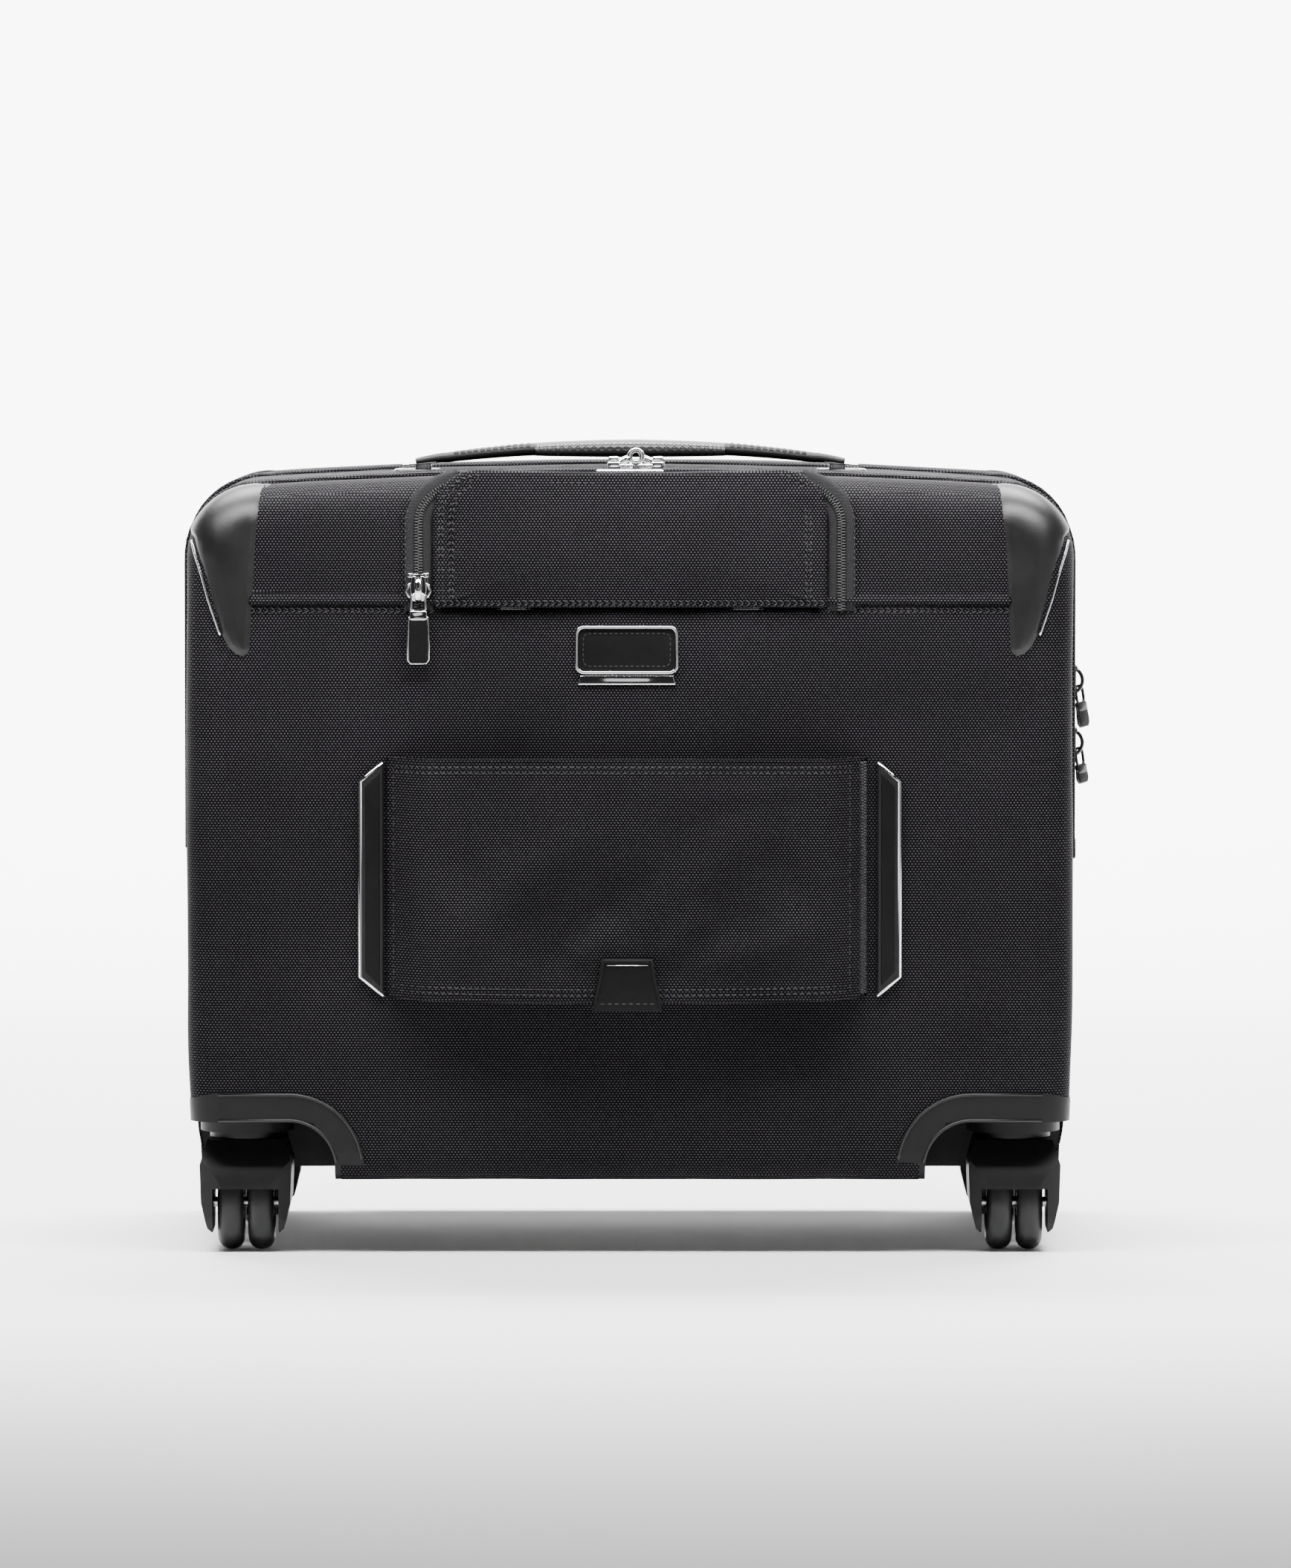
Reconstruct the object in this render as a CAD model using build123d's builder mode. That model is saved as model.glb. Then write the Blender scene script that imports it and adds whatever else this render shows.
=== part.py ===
"""Rolling laptop case: a soft black business case on four twin-wheel casters.

Frame: +X to the right seen from behind, +Y towards the front, +Z up.
Origin: on the floor, under the middle of the case body. Millimetres.
"""
from build123d import *
import os

os.makedirs("parts", exist_ok=True)

# ---------------------------------------------------------------- body
HALF_W = 210.7          # half width of the body at its widest
HALF_W_LOW = 207.5      # half width at the bottom edge
BULGE_Z = 120.0         # height where the body reaches its full width
UNDERSIDE_Z = 35.0      # lowest face of the moulded base
SEAM_Z = 66.0           # joint between the base and the fabric body
SILL_Z = 77.0           # top of the base's raised sill under the front lid
SHOULDER_Z = 363.5      # height of the top edge near the corners
CROWN_Z = 372.0         # height of the top in the middle
CORNER_R = 27.0         # radius of the two top corners
REAR_Y = -111.0         # rear face
FRONT_Y = 103.0         # front face
SPLIT_Y = 35.0          # plane where the front lid meets the body
EDGE_R = 13.0           # rolled edge round the rear and front faces
WALL = 4.0              # fabric, foam and board together
LID_GAP = 0.6           # clearance between the lid and everything it closes on

# ---------------------------------------------------------------- base and wells
WELL_X = 141.0          # inner side of a wheel well
WELL_Y = 38.5           # inner end of a wheel well
WELL_ROOF_Z = 63.6
WELL_R = 22.0           # rounded inner top corner of a well
GUARD_T = 1.8           # thickness of the moulded corner guards
BAND = 14.0             # height of the arched guard over a well

# ---------------------------------------------------------------- casters
CASTER_X = 184.0
CASTER_Y = 75.0
TRAIL = 8.0             # the axle sits this far behind the swivel
WHEEL_R = 22.5
WHEEL_W = 12.5
WHEEL_GAP = 2.0
FORK_W = 44.0
FORK_SLOT = 31.6
FORK_TOP_Z = 53.4
FORK_LOW_Z = 9.5
HOOD_Z = 31.0           # lower edge of the hood between the cheeks
HOOD_R = 25.0
COLLAR_R = 22.4         # moulded collar under each well roof
COLLAR_H = 6.8
SWEEP_R = 34.8          # nothing on a fork reaches further than this from its swivel
AXLE_R = 2.5
STEM_R = 4.0
RUNNING = 0.05          # radial clearance of every turning fit

# ---------------------------------------------------------------- telescoping handle
POST_X = 55.6
POST_Y = -95.0
TUBE_OUT = (25.0, 17.0)  # outer size of the fixed tubes
TUBE_WALL = 1.0
TUBE_PLAY = 0.3
TUBE_FOOT_Z = 70.0
TUBE_TOP_Z = 304.0
STAGE_STEP_Z = 2.0
STAGES = 3
GRIP_HALF = 50.0        # half length of the leather grip
GRIP_DEPTH = 19.0
GRIP_TOP_Z = 373.5
YOKE_Z = 312.0

# ---------------------------------------------------------------- handle well and flap
WELL_HALF = 90.0        # half width of the handle well
WELL_FLOOR_Z = 304.0
WELL_FRONT_Y = -83.0
FLAP_HALF = 93.5
FLAP_LOW_Z = 310.0
FLAP_TOP_Z = 377.0
FLAP_T = 3.4
FLAP_CORNER_R = 23.0
COIL_X = 100.6

# ---------------------------------------------------------------- rear sleeve
SLEEVE_LEFT = -116.0
SLEEVE_RIGHT = 113.0
SLEEVE_LOW_Z = 120.0
SLEEVE_TOP_Z = 237.7
SLEEVE_BULGE = 18.0
SLEEVE_T = 1.6
SLEEVE_RAMP = 26.0


def draw_outline(inset, floor):
    """Lines of the case's outline seen from behind, inside by the stated inset."""
    low = HALF_W_LOW - inset
    wide = HALF_W - inset
    shoulder = SHOULDER_Z - inset
    Polyline(
        (-wide, shoulder), (-wide, BULGE_Z), (-low, floor), (low, floor), (wide, BULGE_Z), (wide, shoulder)
    )
    ThreePointArc((wide, shoulder), (0, CROWN_Z - inset), (-wide, shoulder))


def envelope(inset, rear, front, floor=UNDERSIDE_Z, rear_edge=0.0, front_edge=0.0):
    """Closed block with the case's outline, from rear to front, its face edges rounded."""
    with BuildPart() as block:
        with BuildSketch(Plane.XZ.offset(-front)) as face:
            with BuildLine():
                draw_outline(inset, floor)
            make_face()
            fillet(face.vertices().group_by(Axis.Y)[-1], radius=CORNER_R - inset)
        extrude(amount=front - rear)
        if rear_edge:
            fillet(block.faces().sort_by(Axis.Y)[0].edges(), radius=rear_edge)
        if front_edge:
            fillet(block.faces().sort_by(Axis.Y)[-1].edges(), radius=front_edge)
    return block.part


def slab(x, y, z, mode=Mode.ADD):
    """Box between the stated limits, each a (low, high) pair."""
    centre = ((x[0] + x[1]) / 2, (y[0] + y[1]) / 2, (z[0] + z[1]) / 2)
    with Locations(centre):
        return Box(x[1] - x[0], y[1] - y[0], z[1] - z[0], mode=mode)


def finish(part, name):
    """Label a finished piece and write it out."""
    part.label = name
    export_step(part, f"parts/{name}.step")


rear_outer = envelope(0, REAR_Y, SPLIT_Y, rear_edge=EDGE_R)
rear_skin = envelope(-GUARD_T, REAR_Y - GUARD_T, SPLIT_Y, rear_edge=EDGE_R + GUARD_T)
rear_inner = envelope(WALL, REAR_Y + WALL, SPLIT_Y + 1, floor=SEAM_Z - 5, rear_edge=EDGE_R - WALL)
full_outer = envelope(0, REAR_Y, FRONT_Y, rear_edge=EDGE_R, front_edge=EDGE_R)
full_skin = envelope(
    -GUARD_T, REAR_Y - GUARD_T, FRONT_Y + GUARD_T, rear_edge=EDGE_R + GUARD_T, front_edge=EDGE_R + GUARD_T
)

# ================================================================ fabric body
WELL_CUT = ((-WELL_HALF - 2, WELL_HALF + 2), (REAR_Y - 5, WELL_FRONT_Y + 2), (WELL_FLOOR_Z - 2, 400))
with BuildPart() as body_shell:
    add(rear_outer)
    add(rear_inner, mode=Mode.SUBTRACT)
    slab((-300, 300), (-200, 200), (0, SEAM_Z), mode=Mode.SUBTRACT)
    slab(*WELL_CUT, mode=Mode.SUBTRACT)
finish(body_shell.part, "body_shell")


def draw_arch(grow, low):
    """Lines of half a wheel arch seen square on: local x runs inwards from the corner."""
    reach = HALF_W - WELL_X + grow
    roof = WELL_ROOF_Z + grow
    FilletPolyline((-20, low), (-20, roof), (reach, roof), (reach, low), radius=WELL_R + grow)
    Line((reach, low), (-20, low))


def corner_plane(side_x, y):
    """Plane seen square on at one side's outline, local x running inwards, normal away from the middle."""
    return Plane(origin=(side_x * HALF_W, y, 0), x_dir=(-side_x, 0, 0), z_dir=(0, side_x, 0))


# moulded base: a tray under the whole case with four wheel wells
BASE_TOP = SEAM_Z - 0.2
with BuildPart() as base_pan:
    add(full_outer)
    slab((-300, 300), (-200, SPLIT_Y + LID_GAP), (BASE_TOP, 400), mode=Mode.SUBTRACT)
    slab((-300, 300), (SPLIT_Y, 200), (SILL_Z, 400), mode=Mode.SUBTRACT)
    slab((-HALF_W_LOW + 5, HALF_W_LOW - 5), (SPLIT_Y, FRONT_Y - 5), (BASE_TOP, 400), mode=Mode.SUBTRACT)
    for side_x in (-1, 1):
        for well_y in (-WELL_Y - 50, WELL_Y + 50):
            with BuildSketch(corner_plane(side_x, well_y)):
                with BuildLine():
                    draw_arch(0, 0)
                make_face()
            extrude(amount=50, both=True, mode=Mode.SUBTRACT)
    inner_x = WELL_X - 6
    slab((-inner_x, inner_x), (REAR_Y + 8, FRONT_Y - 8), (UNDERSIDE_Z + 5, WELL_ROOF_Z), mode=Mode.SUBTRACT)
finish(base_pan.part, "base_pan")


# ================================================================ corner guards
def top_guard_part(source, y_span, sign):
    """Smooth corner cap over the top corner on one side, cut from a thin skin round the body."""
    with BuildPart() as guard:
        with BuildSketch(Plane.XZ.offset(-y_span[1])):
            with BuildLine():
                Polyline((sign * 175, 380), (sign * 179.8, 340), (sign * 180, 292))
                Spline(
                    (sign * 180, 292), (sign * 183.5, 287), (sign * 194.5, 297),
                    (sign * 204, 324), (sign * 211, 348),
                    tangents=[(0, -1), (sign * 0.2, 1)],
                )
                Polyline((sign * 211, 348), (sign * 225, 352), (sign * 225, 380), (sign * 175, 380))
            make_face()
        extrude(amount=y_span[1] - y_span[0])
        add(source, mode=Mode.INTERSECT)
    return guard.part


with BuildPart() as rear_cap_skin:
    add(rear_skin)
    add(rear_outer, mode=Mode.SUBTRACT)
    slab((-300, 300), (-82, 200), (0, 400), mode=Mode.SUBTRACT)
with BuildPart() as front_cap_skin:
    add(full_skin)
    add(full_outer, mode=Mode.SUBTRACT)
    slab((-300, 300), (-200, 86), (0, 400), mode=Mode.SUBTRACT)


def top_guards(skin, y_span, name):
    """Pair of corner caps over one end's top corners."""
    with BuildPart() as guards:
        for sign in (-1, 1):
            add(top_guard_part(skin.part, y_span, sign))
    finish(guards.part, name)


top_guards(rear_cap_skin, (-140, -70), "rear_top_guards")
top_guards(front_cap_skin, (60, 130), "lid_top_guards")


def base_guard(side_x, side_y):
    """Arched guard round one bottom corner, following both wheel arches."""
    y_face = REAR_Y if side_y < 0 else FRONT_Y
    across = corner_plane(side_x, y_face)
    along = Plane(origin=(side_x * HALF_W, y_face, 0), x_dir=(0, -side_y, 0), z_dir=(-side_y, 0, 0))
    reach_y = abs(y_face) - WELL_Y
    with BuildPart() as guard:
        with BuildSketch(across):
            with BuildLine():
                draw_arch(BAND, UNDERSIDE_Z - 3)
            make_face()
        extrude(amount=60, both=True)
        add(full_skin, mode=Mode.INTERSECT)
        add(full_outer, mode=Mode.SUBTRACT)
        with BuildSketch(across):
            with BuildLine():
                draw_arch(0, 0)
            make_face()
        extrude(amount=60, both=True, mode=Mode.SUBTRACT)
        with BuildSketch(along):
            with BuildLine():
                Polyline((-20, -1), (-20, WELL_ROOF_Z), (reach_y, WELL_ROOF_Z), (reach_y, -1), close=True)
            make_face()
        extrude(amount=60, both=True, mode=Mode.SUBTRACT)
    return guard.part


with BuildPart() as base_guards:
    for side_x in (-1, 1):
        for side_y in (-1, 1):
            add(base_guard(side_x, side_y))
finish(base_guards.part, "base_guards")


# ================================================================ inside the body
LINER_Y = (-85.0, -82.0)
DIVIDER_Y = (-57.0, -51.0)
DIVIDER_TOP_Z = 292.0
LINER_HALF = 196.0
FLOOR_Z = BASE_TOP + 0.2

with BuildPart() as liner_board:
    slab((-LINER_HALF, LINER_HALF), LINER_Y, (FLOOR_Z, WELL_FLOOR_Z - 2.5))
    fillet(liner_board.edges().filter_by(Axis.Y).group_by(Axis.Z)[-1], radius=18)
finish(liner_board.part, "liner_board")

with BuildPart() as laptop_divider:
    slab((-LINER_HALF, LINER_HALF), DIVIDER_Y, (FLOOR_Z, DIVIDER_TOP_Z))
    fillet(laptop_divider.edges().filter_by(Axis.Y).group_by(Axis.Z)[-1], radius=24)
finish(laptop_divider.part, "laptop_divider")

with BuildPart() as laptop_strap:
    slab((-19, 19), (LINER_Y[1], DIVIDER_Y[1] + 1.6), (DIVIDER_TOP_Z, DIVIDER_TOP_Z + 1.6))
    slab((-19, 19), (DIVIDER_Y[1], DIVIDER_Y[1] + 1.6), (DIVIDER_TOP_Z - 46, DIVIDER_TOP_Z + 1.6))
finish(laptop_strap.part, "laptop_strap")

# ================================================================ handle well, tubes and grip
with BuildPart() as handle_well:
    slab((-WELL_HALF - 1.8, WELL_HALF + 1.8), (REAR_Y + WALL, WELL_FRONT_Y + 1.8), (WELL_FLOOR_Z, 369))
    slab((-WELL_HALF, WELL_HALF), (REAR_Y, WELL_FRONT_Y), (WELL_FLOOR_Z + 2, 400), mode=Mode.SUBTRACT)
    with BuildSketch(Plane.XY.offset(WELL_FLOOR_Z - 1)):
        with Locations((-POST_X, POST_Y), (POST_X, POST_Y)):
            RectangleRounded(TUBE_OUT[0] - 2 * TUBE_WALL, TUBE_OUT[1] - 2 * TUBE_WALL, 4)
    extrude(amount=10, mode=Mode.SUBTRACT)
finish(handle_well.part, "handle_well")


def post_pair(shrink, low, high, bored=True):
    """Left and right tubes of one stage, smaller than the fixed tubes by shrink each side."""
    wide = TUBE_OUT[0] - 2 * shrink
    deep = TUBE_OUT[1] - 2 * shrink
    with BuildPart() as pair:
        with BuildSketch(Plane.XY.offset(low)):
            with Locations((-POST_X, POST_Y), (POST_X, POST_Y)):
                RectangleRounded(wide, deep, 5 - shrink / 2)
            if bored:
                with Locations((-POST_X, POST_Y), (POST_X, POST_Y)):
                    bore_r = 5 - shrink / 2 - TUBE_WALL
                    RectangleRounded(wide - 2 * TUBE_WALL, deep - 2 * TUBE_WALL, bore_r, mode=Mode.SUBTRACT)
        extrude(amount=high - low)
    return pair.part


finish(post_pair(0, TUBE_FOOT_Z, TUBE_TOP_Z), "outer_tubes")
for stage in range(1, STAGES + 1):
    stage_shrink = stage * (TUBE_WALL + TUBE_PLAY)
    stage_low = TUBE_FOOT_Z + stage * STAGE_STEP_Z
    stage_top = YOKE_Z if stage == STAGES else TUBE_TOP_Z + 2 + stage * STAGE_STEP_Z
    finish(post_pair(stage_shrink, stage_low, stage_top), f"stage_{stage}_tubes")

with BuildPart() as handle_foot:
    slab((-POST_X - 22, POST_X + 22), (POST_Y - 9.5, POST_Y + 9.5), (FLOOR_Z, TUBE_FOOT_Z))
    fillet(handle_foot.edges().filter_by(Axis.Z), radius=4)
finish(handle_foot.part, "handle_foot")

YOKE_DEPTH = 12.0
with BuildPart() as handle_yoke:
    for sign in (-1, 1):
        with BuildSketch(Plane.XZ.offset(-POST_Y - YOKE_DEPTH / 2)):
            with BuildLine():
                Line((sign * 47.5, YOKE_Z), (sign * 63.7, YOKE_Z))
                Spline(
                    (sign * 63.7, YOKE_Z), (sign * 70.5, 332), (sign * 73, 350),
                    (sign * 66, 366), (sign * GRIP_HALF, 372),
                    tangents=[(sign * 0.1, 1), (-sign * 1, 0.15)],
                )
                Line((sign * GRIP_HALF, 372), (sign * GRIP_HALF, 353))
                Spline(
                    (sign * GRIP_HALF, 353), (sign * 57, 348), (sign * 56, 334), (sign * 47.5, YOKE_Z),
                    tangents=[(sign * 1, -0.1), (-sign * 0.3, -1)],
                )
            make_face()
        extrude(amount=YOKE_DEPTH)
finish(handle_yoke.part, "handle_yoke")

BUTTON_HALF = 16.0
BUTTON_TRAVEL = 2.5
with BuildPart() as handle_grip:
    with BuildSketch(Plane.XZ.offset(-POST_Y - GRIP_DEPTH / 2)):
        with BuildLine():
            ThreePointArc((-GRIP_HALF, 371), (0, GRIP_TOP_Z), (GRIP_HALF, 371))
            Line((GRIP_HALF, 371), (GRIP_HALF, 353.5))
            ThreePointArc((GRIP_HALF, 353.5), (0, 350), (-GRIP_HALF, 353.5))
            Line((-GRIP_HALF, 353.5), (-GRIP_HALF, 371))
        make_face()
    extrude(amount=GRIP_DEPTH)
    fillet(handle_grip.faces().filter_by(Axis.Y).edges(), radius=5)
    pocket_y = (POST_Y - 3.3, POST_Y + 3.3)
    slab((-BUTTON_HALF - 0.3, BUTTON_HALF + 0.3), pocket_y, (365.5, 380), mode=Mode.SUBTRACT)
finish(handle_grip.part, "handle_grip")

with BuildPart() as handle_button:
    button_z = (365.5 + BUTTON_TRAVEL + 0.2, GRIP_TOP_Z + 1.2)
    slab((-BUTTON_HALF, BUTTON_HALF), (POST_Y - 3, POST_Y + 3), button_z)
    fillet(handle_button.faces().sort_by(Axis.Z)[-1].edges(), radius=0.9)
finish(handle_button.part, "handle_button")

# flap over the handle well: its hem stops just behind the path of the grip
FLAP_Y = REAR_Y - 0.3
with BuildPart() as handle_flap:
    with BuildSketch(Plane.XZ.offset(-FLAP_Y)) as flap_face:
        with BuildLine():
            Polyline(
                (-FLAP_HALF, FLAP_TOP_Z), (-FLAP_HALF, FLAP_LOW_Z),
                (FLAP_HALF, FLAP_LOW_Z), (FLAP_HALF, FLAP_TOP_Z),
            )
            ThreePointArc((FLAP_HALF, FLAP_TOP_Z), (0, FLAP_TOP_Z - 1.5), (-FLAP_HALF, FLAP_TOP_Z))
        make_face()
        fillet(flap_face.vertices().group_by(Axis.Y)[-1], radius=FLAP_CORNER_R)
    extrude(amount=FLAP_T)
finish(handle_flap.part, "handle_flap")

# zip tapes down both sides of the flap, on the body
TAPE_T = 1.2
TAPE_W = 11.0
TAPE_LOW_Z = 308.5
TAPE_TOP_Z = 352.0
with BuildPart() as flap_zip_tapes:
    for sign in (-1, 1):
        x_span = sorted((sign * (COIL_X - TAPE_W / 2), sign * (COIL_X + TAPE_W / 2)))
        slab(x_span, (REAR_Y - TAPE_T, REAR_Y), (TAPE_LOW_Z, TAPE_TOP_Z))
finish(flap_zip_tapes.part, "flap_zip_tapes")

SLIDER_GAP = 0.3        # a slider stands this far off its tape
SLIDER_LONG = 14.0
PIN_OUT = 4.3           # the pull's top bar stands this far out from the slider's back


def zip_slider(place):
    """Slider body with its bail; local y runs along the tape and z outwards."""
    with BuildPart() as body:
        with BuildSketch(place):
            with BuildLine():
                Polyline(
                    (-3.2, 0), (-5.4, 6), (-4.2, SLIDER_LONG), (4.2, SLIDER_LONG), (5.4, 6), (3.2, 0),
                    close=True,
                )
            make_face()
        extrude(amount=3.2)
        with BuildSketch(place.offset(3)):
            with Locations((0, 6.8)):
                Rectangle(3, 11.6)
        extrude(amount=3.6)
        with BuildSketch(place.offset(3.3)):
            with Locations((0, 6.8)):
                Rectangle(5, 8.4)
        extrude(amount=2, mode=Mode.SUBTRACT)
    return body.part


def zip_pull(place, length):
    """Pull tag hanging by its ring from a slider's bail."""
    with BuildPart() as body:
        with BuildSketch(place.offset(PIN_OUT - 0.6)):
            with Locations((0, -0.2)):
                Rectangle(8, 9.8)
            with Locations((0, -0.4)):
                Rectangle(4, 7, mode=Mode.SUBTRACT)
        extrude(amount=1.2)
        with BuildSketch(place.offset(PIN_OUT - 1.2)):
            with Locations((0, -4.5 - (length - 4.5) / 2)):
                RectangleRounded(11, length - 4.5, 1.8)
        extrude(amount=2.4)
    return body.part


FLAP_SLIDER_Z = 312.0
flap_start = (-COIL_X, REAR_Y - TAPE_T - SLIDER_GAP, FLAP_SLIDER_Z)
flap_place = Plane(origin=flap_start, x_dir=(1, 0, 0), z_dir=(0, -1, 0))
finish(zip_slider(flap_place), "flap_slider")
finish(zip_pull(flap_place, 29), "flap_pull")

# ================================================================ rear face trim
PATCH_Z = (278.0, 301.0)
PATCH_X = (-26.0, 23.0)
with BuildPart() as patch_frame:
    with BuildSketch(Plane.XZ.offset(-REAR_Y)):
        with Locations((sum(PATCH_X) / 2, sum(PATCH_Z) / 2)):
            RectangleRounded(49, 23, 4)
            RectangleRounded(46.4, 20.4, 3, mode=Mode.SUBTRACT)
    extrude(amount=2)
    with BuildSketch(Plane.XZ.offset(-REAR_Y)):
        with Locations((sum(PATCH_X) / 2, PATCH_Z[0] - 3)):
            Trapezoid(46.6, 4.6, 70, rotation=180)
    extrude(amount=1.6)
finish(patch_frame.part, "patch_frame")

with BuildPart() as monogram_patch:
    with BuildSketch(Plane.XZ.offset(-REAR_Y)):
        with Locations((sum(PATCH_X) / 2, sum(PATCH_Z) / 2)):
            RectangleRounded(46.2, 20.2, 2.9)
    extrude(amount=1.5)
finish(monogram_patch.part, "monogram_patch")

# sleeve that slips over another case's handle: open above and below
BRACKET_T = 3.4
with BuildPart() as sleeve_panel:
    with BuildSketch(Plane.XY.offset(SLEEVE_LOW_Z)):
        with BuildLine():
            near = REAR_Y - SLEEVE_T
            far = REAR_Y - SLEEVE_BULGE
            FilletPolyline(
                (SLEEVE_LEFT, REAR_Y), (SLEEVE_LEFT, near), (SLEEVE_LEFT + 5, near),
                (SLEEVE_LEFT + SLEEVE_RAMP, far), (SLEEVE_RIGHT - SLEEVE_RAMP, far), (SLEEVE_RIGHT - 5, near),
                (SLEEVE_RIGHT, near), (SLEEVE_RIGHT, REAR_Y), radius=0.5,
            )
            FilletPolyline(
                (SLEEVE_RIGHT, REAR_Y), (SLEEVE_RIGHT - 5.4, REAR_Y),
                (SLEEVE_RIGHT - SLEEVE_RAMP - 0.6, far + SLEEVE_T),
                (SLEEVE_LEFT + SLEEVE_RAMP + 0.6, far + SLEEVE_T),
                (SLEEVE_LEFT + 5.4, REAR_Y), (SLEEVE_LEFT, REAR_Y),
                radius=0.5,
            )
        make_face()
    extrude(amount=SLEEVE_TOP_Z - SLEEVE_LOW_Z)
finish(sleeve_panel.part, "sleeve_panel")

BRACKET_Z = (123.8, 236.3)
with BuildPart() as sleeve_brackets:
    with BuildSketch(Plane.XZ.offset(-REAR_Y)):
        for sign, inner, outer in ((-1, -117.2, -129.2), (1, 117.6, 129.2)):
            with BuildLine():
                Polyline(
                    (inner, BRACKET_Z[0]), (outer, BRACKET_Z[0] + 9.5), (outer, BRACKET_Z[1] - 9.5),
                    (inner, BRACKET_Z[1]), close=True,
                )
            make_face()
    extrude(amount=BRACKET_T)
    chamfer(sleeve_brackets.faces().sort_by(Axis.Y)[:2].edges(), length=0.8)
finish(sleeve_brackets.part, "sleeve_brackets")

with BuildPart() as sleeve_tab:
    with BuildSketch(Plane.XZ.offset(-(REAR_Y - SLEEVE_BULGE))):
        with BuildLine():
            Polyline((-13.4, 143.4), (-18, 118.6), (15.6, 118.6), (11, 143.4), close=True)
        make_face()
    extrude(amount=1.6)
finish(sleeve_tab.part, "sleeve_tab")


# ================================================================ zips over the top
def zip_band(y_span, low_z, proud):
    """Band of zip tape lying over the sides and top of the case between two planes."""
    with BuildPart() as band:
        add(envelope(-proud, y_span[0], y_span[1]))
        add(envelope(0, y_span[0] - 1, y_span[1] + 1), mode=Mode.SUBTRACT)
        slab((-300, 300), (-200, 200), (0, low_z), mode=Mode.SUBTRACT)
    return band.part


REAR_ZIP_Y = (-80.0, -68.0)
FRONT_ZIP_Y = (22.0, 34.0)
ZIP_PROUD = 1.0
finish(zip_band(REAR_ZIP_Y, 190, ZIP_PROUD), "rear_zip_band")

# two lockable sliders nose to nose, their eyelet fins side by side for a padlock
TOP_Z = CROWN_Z + ZIP_PROUD
EYELET_X = 2.8
EYELET_Z = TOP_Z + 7.2
EYELET_R = 1.8
ZIP_MID_Y = sum(REAR_ZIP_Y) / 2
for name, sign, fin_y in (("left", -1, (-77.2, -75.0)), ("right", 1, (-74.6, -72.4))):
    body_x = sorted((EYELET_X - 2 + sign * 3, EYELET_X - 2 + sign * 14))
    with BuildPart() as slider:
        slab(body_x, (ZIP_MID_Y - 4.5, ZIP_MID_Y + 4.5), (TOP_Z + 0.3, TOP_Z + 3.4))
        fillet(slider.edges().filter_by(Axis.Z), radius=1.5)
        fin_x = sorted((EYELET_X - sign * 3.6, EYELET_X + sign * 8))
        slab(fin_x, fin_y, (TOP_Z + 3.4, TOP_Z + 10.6))
        slab(sorted((EYELET_X + sign * 2, EYELET_X + sign * 8)), fin_y, (TOP_Z + 3.0, TOP_Z + 3.6))
        fillet(slider.edges().filter_by(Axis.Y).group_by(Axis.Z)[-1], radius=2.5)
        with BuildSketch(Plane.XZ.offset(90)):
            with Locations((EYELET_X, EYELET_Z)):
                Circle(EYELET_R)
        extrude(amount=-40, mode=Mode.SUBTRACT)
    finish(slider.part, f"rear_zip_slider_{name}")

# the front lid's two sliders parked on the right side, each with a hanging pull
FRONT_ZIP_MID = sum(FRONT_ZIP_Y) / 2
GUSSET_PROUD = 4.0      # the lid's zip runs on a raised gusset
SIDE_X = HALF_W + GUSSET_PROUD
SIDE_SLIDERS = (("upper", 260.0, 16), ("lower", 229.5, 13))
for name, low_z, length in SIDE_SLIDERS:
    side_place = Plane(origin=(SIDE_X + SLIDER_GAP, FRONT_ZIP_MID, low_z), x_dir=(0, 1, 0), z_dir=(1, 0, 0))
    finish(zip_slider(side_place), f"front_zip_slider_{name}")
    finish(zip_pull(side_place, length), f"front_zip_pull_{name}")

GARAGE_Z = (188.0, 221.0)   # leather strip over the end of the zip on the right side
STOP_Z = (179.6, 189.6)     # end stop under it
with BuildPart() as front_zip_band:
    add(zip_band(FRONT_ZIP_Y, SEAM_Z + 4, GUSSET_PROUD))
    slab((SIDE_X, SIDE_X + 3.0), (FRONT_ZIP_MID - 3, FRONT_ZIP_MID + 3), GARAGE_Z)
    slab((SIDE_X, SIDE_X + 3.4), (FRONT_ZIP_MID - 5, FRONT_ZIP_MID + 5), STOP_Z)
finish(front_zip_band.part, "front_zip_band")

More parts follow.
